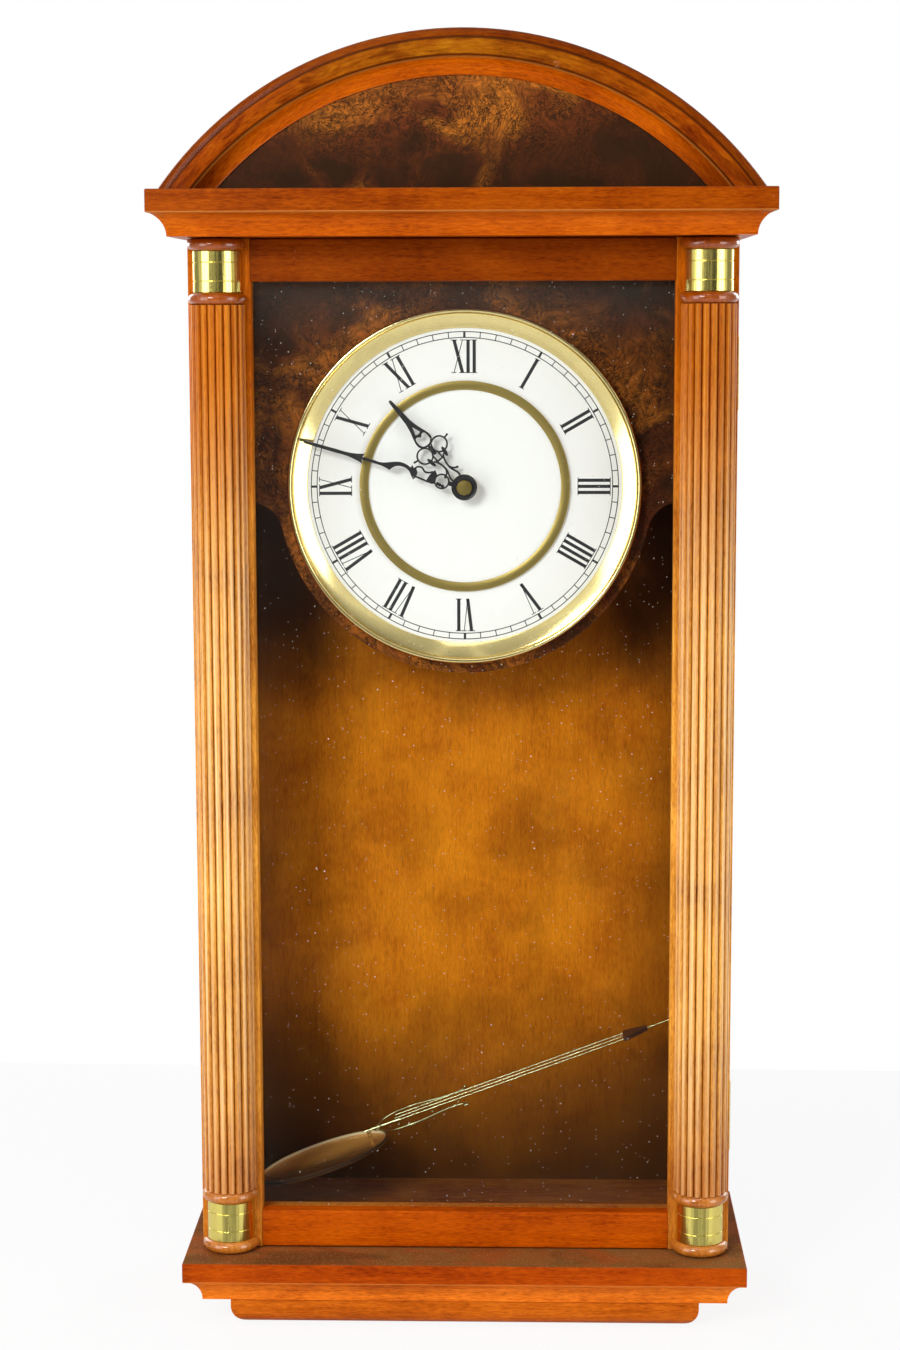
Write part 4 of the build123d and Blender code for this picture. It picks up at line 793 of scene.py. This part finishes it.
class WALLCLOCK_OT_woodwork(ClockOperator):
    """Finish the boards of the case and the door's frame"""
    bl_idname = "wall_clock.woodwork"
    bl_label = "Woodwork"

    def execute(self, context):
        c = settings().colours
        frame_wood = tuple(c.frame_wood)
        r, g, b = frame_wood
        cornice = stained_wood("cornice_wood", frame_wood, 0, wear=0.5, dust=0.6,
                               hollow=high("cornice_board").z - 11.6 * MM)
        # The base's cove is painted lighter still, as painted light.
        base = stained_wood("base_wood", (1.26 * r, 1.00 * g, b), 0, wear=0.5, dust=1.0,
                            hollow=high("base_board").z - 10.6 * MM, hollow_painted_light=(1.80, 3.1, 16.0))
        # Block: a lighter copy of the frame stain, painted light where light from below falls on its rounded
        # face.
        block = stained_wood("block_wood", (1.66 * r, 2.15 * g, 8 * b), 0, wear=0.3)
        # Top rail: a darker copy of the frame stain, painted shade under the cornice's overhang.
        rail_top = stained_wood("top_rail_wood", (0.70 * r, 0.70 * g, b), 0, wear=0.3)
        # Bottom rail: a lighter copy of the frame stain, painted light that makes up for the shade of the
        # columns.
        rail_bottom = stained_wood("bottom_rail_wood", (1.55 * r, 1.46 * g, b), 0, wear=0.3)
        # Stiles: a lighter copy of the column stain, painted light against the columns' shadow, with the
        # ends' deeper stain and painted shade.
        stile = stained_wood("stile_wood", scaled(c.column_wood, 1.05), 2, shape="stile")
        side = stained_wood("side_wood", frame_wood, 2)
        floor = stained_wood("floor_wood", (0.74 * r, 1.35 * g, 12 * b), 0, gloss=0.75, coat=0.0, shine=0.02)
        smoothed("cornice_board", "case", "case_wood", cornice)
        smoothed("base_board", "case", "case_wood", base)
        smoothed("bottom_block", "case", "case_wood", block)
        paint(rail_top, "door_rail_top")
        paint(rail_bottom, "door_rail_bottom")
        paint(stile, "door_stile_left", "door_stile_right", "glass_beads")
        paint(side, "side_left", "side_right")
        paint(floor, "case_floor")
        paint(sunburst_panel("back_panel_wood"), "back_panel")
        paint(stained_wood("plain_wood", (0.42, 0.26, 0.12), 0, gloss=0.6), "hanging_cleat")
        paint(stained_wood("plain_wood_upright", (0.42, 0.26, 0.12), 2, gloss=0.6), "dial_board_cleats")
        return {"FINISHED"}


class WALLCLOCK_OT_pediment(ClockOperator):
    """Turn the arched moulding and veneer the panel behind it"""
    bl_idname = "wall_clock.pediment"
    bl_label = "Pediment"

    def execute(self, context):
        c = settings().colours
        front = low("arch_frame").y
        back = high("arch_frame").y
        outer = ARCH_RADIUS
        panel = low("pediment_panel").y
        bead = front + 1.6 * MM
        flat = outer - ARCH_BEAD
        inner = flat - ARCH_FLAT
        lip = inner - 9.3 * MM
        rabbet = inner - 4.3 * MM
        sweep = 10.4 * MM
        hollow = arc_points((inner - sweep, front - 1.0 * MM), sweep, 6, 78, 12)
        round_over = 3.6 * MM
        nose = arc_points((outer - round_over, bead + 4.2 * MM), round_over, 0, -82, 10)
        steps = near(flat, bead, (0.3, 0.3), (0, 0)) + near(flat, front, (0, 0.3), (-0.3, 0))
        foot = near(lip, panel, (0, -1.0), (0, 0)) + [(rabbet, panel), (rabbet, back)]
        profile = [(outer, back)] + nose + steps + near(inner, front, (0.3, 0)) + hollow + foot
        points = [(r, y, ARCH_CENTRE.z) for r, y in profile]
        arch = spun("arch_moulding", points, ARCH_CENTRE, (0, 1, 0), 180)
        edit(arch)
        bpy.ops.mesh.bisect(plane_co=(0, 0, low("arch_frame").z), plane_no=(0, 0, 1), use_fill=True,
                            clear_inner=True)
        leave_edit()
        tidy_mesh(arch)
        wood = stained_wood("arch_wood", tuple(c.frame_wood), 0, wear=0.3, shape="arch")
        settle(arch, "case", "case_wood", wood, "arch_frame")
        centre = (-0.010, low("pediment_panel").z + 0.058)
        burl = burl_veneer("pediment_burl", "pediment_panel", centre, 0.125, 0.050, 0.45, (0.31, 0.0, 0.12))
        paint(burl, "pediment_panel")
        return {"FINISHED"}


class WALLCLOCK_OT_columns(ClockOperator):
    """Model the reeded half columns with their turned rings"""
    bl_idname = "wall_clock.columns"
    bl_label = "Columns"

    def shaft(self, x, bottom, top):
        s = settings().sizes
        step = 180.0 / s.reed_count
        meeting = min(1.0, s.reed_circle * sin(radians(step / 2)) / s.reed_radius)
        spread = 90.0 - degrees(acos(meeting)) + step / 2
        points = []
        for index in range(s.reed_count):
            heading = 180.0 + (index + 0.5) * step
            middle = (s.reed_circle * cos(radians(heading)), s.reed_circle * sin(radians(heading)))
            reed = arc_points(middle, s.reed_radius, heading - spread, heading + spread, 11)
            points += reed if index == 0 else reed[1:]
        points[0] = (points[0][0], 0.0)
        points[-1] = (points[-1][0], 0.0)
        placed = [(x + px, DOOR_FRONT + py, bottom) for px, py in points]
        return drawn_out("shaft", placed, (0, 0, top - bottom))

    def ring(self, x, bottom):
        s = settings().sizes
        bead = s.ring_height / 2
        core = s.ring_radius - bead
        nose = arc_points((core, bottom + bead), bead, -90, 90, 17)
        profile = [(0.0, bottom)] + nose + [(0.0, bottom + s.ring_height)]
        return half_turned("ring", x, profile, 48)

    def execute(self, context):
        c = settings().colours
        s = settings().sizes
        wood = stained_wood("column_wood", tuple(c.column_wood), 2, gloss=0.30, shine=0.12, shape="reeds")
        for side in ("left", "right"):
            node = "column_" + side
            bottom = low(node).z
            top = high(node).z
            x = middle_x(node)
            end = s.ring_height + s.sleeve_height + 0.2 * MM
            pieces = [self.shaft(x, bottom + end + s.ring_height, top - end - s.ring_height)]
            for level in (bottom, bottom + end, top - end - s.ring_height, top - s.ring_height):
                pieces.append(self.ring(x, level))
            settle(joined("turned_" + node, pieces), "door", "case_wood", wood, node)
        return {"FINISHED"}


class WALLCLOCK_OT_sleeves(ClockOperator):
    """Turn the grooved brass sleeves on the columns' necks"""
    bl_idname = "wall_clock.sleeves"
    bl_label = "Brass sleeves"

    def sleeve(self, x, bottom):
        s = settings().sizes
        inner = 12.05 * MM
        outer = 12.85 * MM
        top = bottom + s.sleeve_height
        rim = 0.2 * MM
        profile = [(inner, bottom), (outer - rim, bottom), (outer, bottom + rim)]
        inset = 5.8 * MM
        for level in (bottom + inset, top - inset):
            profile += arc_points((outer, level), 0.30 * MM, 270, 90, 7)
        profile += [(outer, top - rim), (outer - rim, top), (inner, top)]
        return half_turned("sleeve", x, profile, 64)

    def execute(self, context):
        s = settings().sizes
        pieces = []
        for node in ("column_left", "column_right"):
            x = middle_x(node)
            for level in (low("column_sleeves").z, high("column_sleeves").z - s.sleeve_height):
                pieces.append(self.sleeve(x, level))
        brass = spun_brass("sleeve_brass", (0.76, 0.64, 0.17), 0.16, 2, 0.2, 0.8)
        settle(joined("brass_sleeves", pieces), "door", "polished_brass", brass, "column_sleeves")
        return {"FINISHED"}


class WALLCLOCK_OT_dial(ClockOperator):
    """Turn the bezel and the inner ring and finish the dial and its board"""
    bl_idname = "wall_clock.dial"
    bl_label = "Dial"

    def execute(self, context):
        c = settings().colours
        back = high("dial_bezel").y
        crest = low("dial_bezel").y
        outer = high("dial_bezel").x
        inner = 84.0 * MM
        seat = 91.2 * MM
        bead = 1.3 * MM
        rim = arc_points((outer - bead, crest + bead), bead, 0, -150, 15)
        groove = near(outer, crest, (-2.6, 1.35), (-2.8, 1.50), (-3.0, 1.30), (-3.2, 1.15), (-3.6, 1.30))
        lip = near(inner, DIAL_FRONT, (0.5, -1.2), (0.1, -0.9), (0, -0.6), (0, 0))
        profile = [(outer, back)] + rim + groove + lip + [(seat, DIAL_FRONT), (seat, back)]
        bezel = dial_turned("bezel", profile, 192)
        brass = spun_brass("bezel_brass", c.brass, 0.12, 1, 0.2)
        settle(bezel, "case", "polished_brass", brass, "dial_bezel")
        ring_out = high("inner_dial_ring").x
        ring_in = 51.4 * MM
        rise = DIAL_FRONT - low("inner_dial_ring").y
        bow = [(ring_out, 0.0), (ring_out, 0.8), (ring_out - 0.12 * MM, 0.94), (ring_out - 0.35 * MM, 1.0),
               (ring_in + 0.35 * MM, 0.72), (ring_in + 0.10 * MM, 0.66), (ring_in, 0.5), (ring_in, 0.0)]
        ring = dial_turned("inner_ring", [(r, DIAL_FRONT - share * rise) for r, share in bow], 160)
        settle(ring, "case", "polished_brass", spun_brass("ring_brass", c.old_brass, 0.38, 1, 0.2),
               "inner_dial_ring")
        paint(dial_lacquer("dial_lacquer"), "dial_plate")
        centre = (-0.012, DIAL.z - 0.010)
        burl = burl_veneer("dial_board_burl", "dial_board", centre, 0.170, 0.165, 0.42, (0.07, 0.0, 0.43))
        paint(burl, "dial_board")
        return {"FINISHED"}


class WALLCLOCK_OT_print(ClockOperator):
    """Draw the numerals and the minute track on the dial"""
    bl_idname = "wall_clock.print"
    bl_label = "Dial print"

    def quad(self, turn, corners):
        """One flat patch; corners are across and outwards, before the turn from twelve."""
        placed = []
        for across, outwards in corners:
            x = across * cos(turn) + outwards * sin(turn)
            z = outwards * cos(turn) - across * sin(turn)
            placed.append((x, DIAL_FRONT, DIAL.z + z))
        self.patches.append(loop_of("patch", placed, "NGON"))

    def bar(self, turn, start, end, width):
        """A stroke whose ends are cut level."""
        (x0, r0), (x1, r1) = start, end
        half = width * hypot(x1 - x0, r1 - r0) / abs(r1 - r0) / 2
        self.quad(turn, [(x0 - half, r0), (x0 + half, r0), (x1 + half, r1), (x1 - half, r1)])

    def serif(self, turn, centre, level, reach, inwards):
        s = settings().sizes
        thick = s.numeral_hair * (1 if inwards else -1)
        self.quad(turn, [(centre - reach, level), (centre + reach, level),
                         (centre + reach, level + thick), (centre - reach, level + thick)])

    def letter(self, turn, kind, left):
        s = settings().sizes
        top = s.numeral_outer
        foot = top - s.numeral_height
        stem, hair = s.numeral_stem, s.numeral_hair
        width = self.widths[kind]
        if kind == "I":
            middle = left + width / 2
            self.bar(turn, (middle, foot), (middle, top), stem)
            for level, inwards in ((foot, True), (top, False)):
                self.serif(turn, middle, level, width * 0.48, inwards)
            return
        near = left + stem * 0.75
        far = left + width - stem * 0.75
        if kind == "V":
            middle = left + width * 0.52
            self.bar(turn, (near, top), (middle, foot), stem)
            self.bar(turn, (far, top), (middle, foot), hair)
            self.serif(turn, near, top, stem * 1.05, False)
            self.serif(turn, far, top, stem * 0.75, False)
            return
        self.bar(turn, (near, top), (far, foot), stem)
        self.bar(turn, (far, top), (near, foot), hair)
        for middle, level, inwards, reach in ((near, top, False, 1.05), (far, top, False, 0.75),
                                              (near, foot, True, 0.75), (far, foot, True, 1.05)):
            self.serif(turn, middle, level, stem * reach, inwards)

    def execute(self, context):
        s = settings().sizes
        self.patches = []
        self.widths = {"I": 3.25 * MM, "V": 6.6 * MM, "X": 7.2 * MM}
        numerals = ("XII", "I", "II", "III", "IIII", "V", "VI", "VII", "VIII", "IX", "X", "XI")
        for hour, word in enumerate(numerals):
            turn = radians(30 * hour)
            left = -sum(self.widths[kind] for kind in word) / 2
            for kind in word:
                self.letter(turn, kind, left)
                left += self.widths[kind]
        line = 0.48 * MM
        hour_mark = 1.25 * MM
        for minute in range(60):
            width = hour_mark if minute % 5 == 0 else line
            self.bar(radians(6 * minute), (0, s.track_inner), (0, s.track_outer), width)
        for radius in (s.track_inner, s.track_outer):
            for step in range(180):
                first, second = radians(2 * step), radians(2 * step + 2)
                corners = [(r * sin(a), r * cos(a)) for r, a in (
                    (radius - line / 2, first), (radius + line / 2, first),
                    (radius + line / 2, second), (radius - line / 2, second))]
                self.quad(0.0, corners)
        ink = joined("dial_print", self.patches)
        edit(ink)
        bpy.ops.mesh.remove_doubles(threshold=1e-7)
        bpy.ops.mesh.normals_make_consistent(inside=False)
        bpy.ops.mesh.extrude_region_move(TRANSFORM_OT_translate={"value": (0, -s.print_thick, 0)})
        leave_edit()
        tidy_mesh(ink)
        settle(ink, "case", "dial_white", printed_ink("dial_ink"))
        return {"FINISHED"}


class WALLCLOCK_OT_hands(ClockOperator):
    """Finish the hands and turn the nut that holds them"""
    bl_idname = "wall_clock.hands"
    bl_label = "Hands"

    def execute(self, context):
        c = settings().colours
        enamel = black_enamel("hand_enamel")
        paint(enamel, "hour_hand", "minute_hand")
        back = high("hand_nut").y
        front = low("hand_nut").y
        radius = high("hand_nut").x
        side = near(radius, back, (-0.2, 0), (0, -0.2)) + near(radius, front, (0, 0.5), (-0.3, 0.22))
        profile = [(0.0, back)] + side + [(radius * 0.5, front + 0.08 * MM), (0.0, front)]
        nut = dial_turned("cone_nut", profile, 64)
        settle(nut, "minute_hand_body", "polished_brass", spun_brass("nut_brass", c.old_brass, 0.30, 1, 0.2),
               "hand_nut")
        face = low("minute_hand").y
        hub = 6.85 * MM
        rim = near(hub, face, (0, 0.9), (0, 0.1), (-0.12, -0.04), (-0.75, -0.04), (-0.95, 0.08), (-1.1, 0.25))
        ring = dial_turned("hub_ring", rim + near(radius, face, (0.1, 0.25), (0.1, 0.9)), 72)
        settle(ring, "minute_hand_body", "black_metal", enamel)
        return {"FINISHED"}


class WALLCLOCK_OT_glass(ClockOperator):
    """Finish the door's pane"""
    bl_idname = "wall_clock.glass"
    bl_label = "Glass"

    def execute(self, context):
        paint(dusty_glass("dusty_glass"), "door_glass")
        return {"FINISHED"}


class WALLCLOCK_OT_pendulum(ClockOperator):
    """Turn the bob and bend the lyre, rods and hook of the pendulum that lies in the case"""
    bl_idname = "wall_clock.pendulum"
    bl_label = "Pendulum"
    bob_slope, bob_roll, rod_slope = 18.2, 4.5, 20.6

    def lying(self, rise, slope, roll):
        """Centre and directions of a piece that slopes up to the right, as its solid does."""
        slope, roll = radians(slope), radians(roll)
        behind = low("back_panel").y - 0.3 * MM - self.radius * cos(radians(self.bob_roll))
        self.centre = Vector((self.bob_x, behind, high("case_floor").z + rise))
        self.along = Vector((cos(slope), 0, sin(slope)))
        self.up = Vector((-sin(slope) * cos(roll), cos(slope) * sin(roll), cos(slope) * cos(roll)))
        self.across = self.up.cross(self.along)

    def place(self, along, across, up):
        """A place given in millimetres on the lying piece."""
        return self.centre + MM * (along * self.along + across * self.across + up * self.up)

    def turned(self, name, along, across, profile, steps):
        """A profile of radius and height, spun about an axis that stands on the lying piece."""
        points = [self.place(along + r, across, h) for r, h in profile]
        return spun(name, points, self.place(along, across, 0), self.up, steps)

    def wire(self, name, points, radius):
        """A round wire bent smoothly through places on the lying piece."""
        clear_selection()
        bpy.ops.curve.primitive_bezier_curve_add()
        piece = bpy.context.object
        piece.name = name
        knots = piece.data.splines[0].bezier_points
        knots.add(len(points) - 2)
        for knot, point in zip(knots, points):
            knot.co = self.place(*point)
            knot.handle_left_type = "AUTO"
            knot.handle_right_type = "AUTO"
        piece.data.bevel_depth = radius * MM
        piece.data.bevel_resolution = 3
        piece.data.resolution_u = 8
        piece.data.use_fill_caps = True
        bpy.ops.object.convert(target="MESH")
        tidy_mesh(piece, 50)
        return piece

    def bob(self):
        self.lying(25.6 * MM, self.bob_slope, self.bob_roll)
        hollow = [(r, -2.4 + 0.8 * (r / 35.4) ** 2) for r in (0, 6, 12, 18, 24, 30, 34)]
        wall = [(35.9, -1.62), (36.4, -1.42), (36.75, -1.05), (37.15, -0.2), (37.3, -0.04), (37.55, 0.0),
                (37.85, -0.08), (38.0, -0.3), (37.9, -0.7), (37.4, -1.6), (36.9, -2.45)]
        under = [(r, -6.5 + 4.3 * (r / 38) ** 2) for r in (34, 28, 20, 12, 6, 0)]
        shell = self.turned("shell", 0, 0, hollow + wall + under, 160)
        post = self.turned("post", 29.0, 0, [
            (0, -2.2), (1.5, -2.1), (1.5, -1.5), (0.9, -1.0), (0.8, 1.6), (1.3, 2.2), (1.5, 2.9), (1.3, 3.6),
            (0.9, 4.0), (1.4, 4.5), (1.4, 4.9), (0, 5.0)], 32)
        stem = self.wire("stem", [(-49.9, 0, -1.6), (-43.0, 0, -1.6), (-36.8, 0, -1.6)], 1.2)
        return settle(joined("dished_bob", [shell, post, stem]), "pendulum", "aged_brass",
                      bob_brass("bob_brass", self), "pendulum_bob")

    def lyre(self, brass):
        level = -0.6
        pieces = []
        for side in (1, -1):
            arm = [(33.0, 1.5), (37.4, 6.2), (51.7, 11.7), (70.4, 7.5), (80.3, 6.3), (86.0, 9.4),
                   (86.6, 11.4), (85.0, 12.0), (84.0, 10.8)]
            bent = [(x, side * y, level + side * min(1.8, 0.3 * y)) for x, y in arm]
            pieces.append(self.wire("arm", bent, 0.46))
            ball = [(0, -1.2), (0.9, -1.1), (1.6, -0.75), (1.75, -0.35), (1.4, 0.15), (0.7, 0.45), (0, 0.5)]
            pieces.append(self.turned("ball", 33.0, side * 4.5, ball, 24))
        for place, width in ((34.1, 5.6), (46.2, 9.4), (66.0, 8.1), (81.4, 6.9)):
            bar = [(place, -width, level), (place + 0.6, 0, level), (place, width, level)]
            pieces.append(self.wire("bar", bar, 0.42))
        pieces.append(self.wire("tab", [(24.6, 0, level), (35.0, 0, level), (46.2, 0, level)], 0.6))
        settle(joined("wire_lyre", pieces), "pendulum", "aged_brass", brass, "pendulum_lyre")

    def execute(self, context):
        self.radius = 38.0 * MM
        self.bob_x = high("side_left").x + 49.4 * MM
        self.bob()
        slope = radians(self.rod_slope)
        self.lying(31.4 * MM, self.rod_slope, 0)
        brass = spun_brass("wire_brass", (0.55, 0.62, 0.33), 0.22, 0, 0.1)
        self.lyre(brass)
        head = (low("side_right").x - self.bob_x) / cos(slope) / MM - 45.8
        level = 0.85
        rods = []
        for across in (-6.1, 0.0, 6.1):
            rods.append(self.wire("rod", [(along, across, level) for along in (44.0, 100.0, head)], 0.27))
        settle(joined("thin_rods", rods), "pendulum", "aged_brass", brass, "pendulum_rods")
        bend = low("side_right").x - 0.3 * MM - self.bob_x
        bend = (bend / MM - 2.9 + (level - 2.6) * sin(slope)) / cos(slope)
        hook = self.wire("bent_hook", [(head + 14.0, 0, level), (bend - 8.0, 0, level), (bend, 0, level),
                                       (bend + 2.3, 0, level - 2.4), (bend, 0, level - 4.9)], 0.42)
        settle(hook, "pendulum", "aged_brass", brass, "pendulum_hook")
        smoothed("rating_nut", "pendulum", "aged_brass", brass)
        return {"FINISHED"}


# Plain finishes: name, colour, roughness, metal, grain and the solids that have them
PLAIN_FITTINGS = (
    ("plated_steel", (0.58, 0.57, 0.54), 0.30, 1.0, 240.0,
     ("keyhole_plate", "keyhole_screws", "battery_contacts", "motor_stator", "motor_rotor", "timing_crystal",
      "hanger_pin", "strike_plate")),
    ("black_plastic", (0.022, 0.022, 0.023), 0.42, 0.0, 240.0,
     ("movement_case", "movement_cover", "catch_magnet", "setting_knob")),
    ("pale_plastic", (0.74, 0.73, 0.68), 0.45, 0.0, 240.0,
     ("hour_wheel", "intermediate_wheel", "minute_arbor", "pendulum_hanger")),
    ("soft_rubber", (0.020, 0.020, 0.020), 0.75, 0.0, 240.0, ("rubber_washer",)),
    ("cell_sleeve", (0.05, 0.11, 0.07), 0.30, 0.0, 240.0, ("battery",)),
    ("copper_wire", (0.55, 0.22, 0.08), 0.35, 0.8, 900.0, ("motor_coil", "pendulum_coil")),
    ("board_laminate", (0.02, 0.14, 0.05), 0.40, 0.0, 240.0, ("circuit_board",)),
    ("yoke_brown", (0.050, 0.018, 0.008), 0.5, 0.0, 240.0, ("pendulum_yoke",)),
)


class WALLCLOCK_OT_fittings(ClockOperator):
    """Finish the hinges, hanger, catch, the pendulum's yoke and the movement's pieces"""
    bl_idname = "wall_clock.fittings"
    bl_label = "Fittings"

    def execute(self, context):
        c = settings().colours
        brass = spun_brass("hinge_brass", c.brass, 0.22, 2, 0.3)
        paint(brass, "hinge_case_leaves", "hinge_door_leaves", "hinge_pins", "hinge_case_screws",
              "hinge_door_screws", "centre_nut")
        for name, colour, rough, metallic, grain, nodes in PLAIN_FITTINGS:
            paint(plain_finish(name, colour, rough, metallic, grain), *nodes)
        return {"FINISHED"}


# Lamps: name, place, size and share of the power
LAMP_AIM = Vector((0.0, -0.10, -0.25))
LAMPS = (
    ("lamp_key", (-0.70, -1.45, 0.50), (0.50, 0.50), 1.0),
    ("lamp_left", (-1.25, -1.05, -0.10), (0.70, 1.20), 0.65),
    ("lamp_right", (1.25, -1.00, -0.10), (0.70, 1.20), 0.70),
    ("lamp_back_left", (-1.20, 1.20, 0.35), (0.80, 1.00), 0.55),
    ("lamp_back_right", (1.20, 1.20, 0.35), (0.80, 1.00), 0.55),
    ("lamp_top", (-0.2, -0.8, 1.5), (0.9, 0.6), 0.3),
)
# Brightness that metal mirrors, by angle from the front in radians
SCREENS = (
    (0.00, 0.05), (0.095, 0.05), (0.105, 1.0), (0.14, 1.0), (0.16, 0.05), (0.42, 0.08), (0.62, 0.30),
    (0.80, 1.0), (1.35, 1.0), (1.60, 0.30), (2.05, 0.30), (2.30, 1.0),
)


class WALLCLOCK_OT_stage(ClockOperator):
    """Set the floor, the soft lamps, the room's light and the camera"""
    bl_idname = "wall_clock.stage"
    bl_label = "Stage"

    def lamp(self, name, place, size, power):
        clear_selection()
        bpy.ops.object.light_add(type="AREA", location=place)
        lamp = bpy.context.object
        lamp.name = name
        lamp.data.shape = "RECTANGLE"
        lamp.data.size, lamp.data.size_y = size
        lamp.data.energy = power
        lamp.rotation_euler = (LAMP_AIM - Vector(place)).to_track_quat("-Z", "Y").to_euler()

    def floor(self):
        clear_selection()
        bpy.ops.mesh.primitive_plane_add(size=1.0)
        floor = bpy.context.object
        floor.name = "floor"
        level = low("bottom_block").z
        corners = ((-2.2, -0.80), (2.2, -0.80), (-2.2, 0.405), (2.2, 0.355))
        for vertex, (x, y) in zip(floor.data.vertices, corners):
            vertex.co = (x, y, level)
        f = Finish("pale_table")
        cloud = f.noise(3.0, 3.0, 0.5)
        lit = f.node("ShaderNodeBsdfDiffuse", inputs={
            "Color": f.blend(cloud * 0.3, (0.93, 0.93, 0.93), (0.90, 0.90, 0.91))})
        seen = f.node("ShaderNodeLightPath", output="Is Camera Ray")
        glow = f.node("ShaderNodeEmission", inputs={"Color": (1.0, 1.0, 1.0, 1.0), "Strength": 1.0})
        table = f.node("ShaderNodeMixShader", inputs=(seen * 0.88, lit, glow))
        mirrored = f.node("ShaderNodeLightPath", output="Is Glossy Ray")
        ahead = 1 - f.parts()[1].soft(-0.20, -0.16)
        clear = f.node("ShaderNodeBsdfTransparent")
        wear_finish(floor, f.done(f.node("ShaderNodeMixShader", inputs=(mirrored * ahead, table, clear))))

    def room(self, light):
        """Even light for plain surfaces; side screens, a bright top and a bright foot for what mirrors."""
        f = Finish("studio", world=True)
        x, y, z = f.parts()
        aside = abs(x.maths("ARCTAN2", 0 - y)) / pi
        stops = [(angle / pi, (level,) * 3) for angle, level in SCREENS]
        screens = f.node("ShaderNodeValToRGB", {"stops": stops, "change": "EASE"}, (aside,))
        for start, end, level in ((0.30, 0.75, 0.40), (-0.26, -0.60, 1.4)):
            screens = screens + f.node("ShaderNodeMapRange", inputs={
                "Value": z, "From Min": start, "From Max": end, "To Max": level})
        screens = screens.maths("MINIMUM", 1.0)
        glossy, through, seen = (f.node("ShaderNodeLightPath", output="Is %s Ray" % way)
                                 for way in ("Glossy", "Transmission", "Camera"))
        level = f.node("ShaderNodeMix", inputs={0: glossy.maths("MAXIMUM", through), 2: light, 3: screens})
        level = f.node("ShaderNodeMix", inputs={0: seen, 2: level, 3: 1.0})
        glow = f.node("ShaderNodeBackground", inputs={"Color": (1.0, 1.0, 1.0, 1.0), "Strength": level})
        bpy.context.scene.world = f.done(glow)

    def camera(self, stage):
        clear_selection()
        bpy.ops.object.camera_add(location=stage.camera_place)
        camera = bpy.context.object
        camera.name = "camera"
        camera.data.lens = stage.lens
        camera.data.sensor_width = 36.0
        pitch, roll, yaw = stage.camera_turn
        ahead = Vector((sin(yaw) * cos(pitch), cos(yaw) * cos(pitch), -sin(pitch)))
        right = Vector((cos(yaw), -sin(yaw), 0.0))
        down = ahead.cross(right)
        side = cos(roll) * right + sin(roll) * down
        lower = cos(roll) * down - sin(roll) * right
        turn = Matrix((side, -lower, -ahead)).transposed()
        camera.rotation_euler = turn.to_euler()
        bpy.context.scene.camera = camera

    def execute(self, context):
        stage = settings().stage
        for name, place, size, share in LAMPS:
            self.lamp(name, place, size, stage.lamp_power * share)
        self.floor()
        self.room(stage.room_light)
        self.camera(stage)
        context.scene.view_settings.view_transform = "Standard"
        return {"FINISHED"}


class WALLCLOCK_PT_panel(bpy.types.Panel):
    """Sidebar panel that lists the wall clock's operators"""
    bl_idname = "WALLCLOCK_PT_panel"
    bl_label = "Wall clock"
    bl_space_type = "VIEW_3D"
    bl_region_type = "UI"
    bl_category = "Wall clock"

    def draw(self, context):
        for operator in OPERATORS:
            self.layout.operator(operator.bl_idname)


OPERATORS = (
    WALLCLOCK_OT_woodwork,
    WALLCLOCK_OT_pediment,
    WALLCLOCK_OT_columns,
    WALLCLOCK_OT_sleeves,
    WALLCLOCK_OT_dial,
    WALLCLOCK_OT_print,
    WALLCLOCK_OT_hands,
    WALLCLOCK_OT_glass,
    WALLCLOCK_OT_pendulum,
    WALLCLOCK_OT_fittings,
    WALLCLOCK_OT_stage,
)
CLASSES = (ClockColours, ClockSizes, StageSettings, ClockSettings, *OPERATORS, WALLCLOCK_PT_panel)


def register():
    for item in CLASSES:
        bpy.utils.register_class(item)
    bpy.types.Scene.wall_clock = PointerProperty(type=ClockSettings)


def unregister():
    del bpy.types.Scene.wall_clock
    for item in reversed(CLASSES):
        bpy.utils.unregister_class(item)


def main():
    register()
    bpy.ops.wall_clock.woodwork()
    bpy.ops.wall_clock.pediment()
    bpy.ops.wall_clock.columns()
    bpy.ops.wall_clock.sleeves()
    bpy.ops.wall_clock.dial()
    bpy.ops.wall_clock.print()
    bpy.ops.wall_clock.hands()
    bpy.ops.wall_clock.glass()
    bpy.ops.wall_clock.pendulum()
    bpy.ops.wall_clock.fittings()
    bpy.ops.wall_clock.stage()


if __name__ == "__main__":
    main()
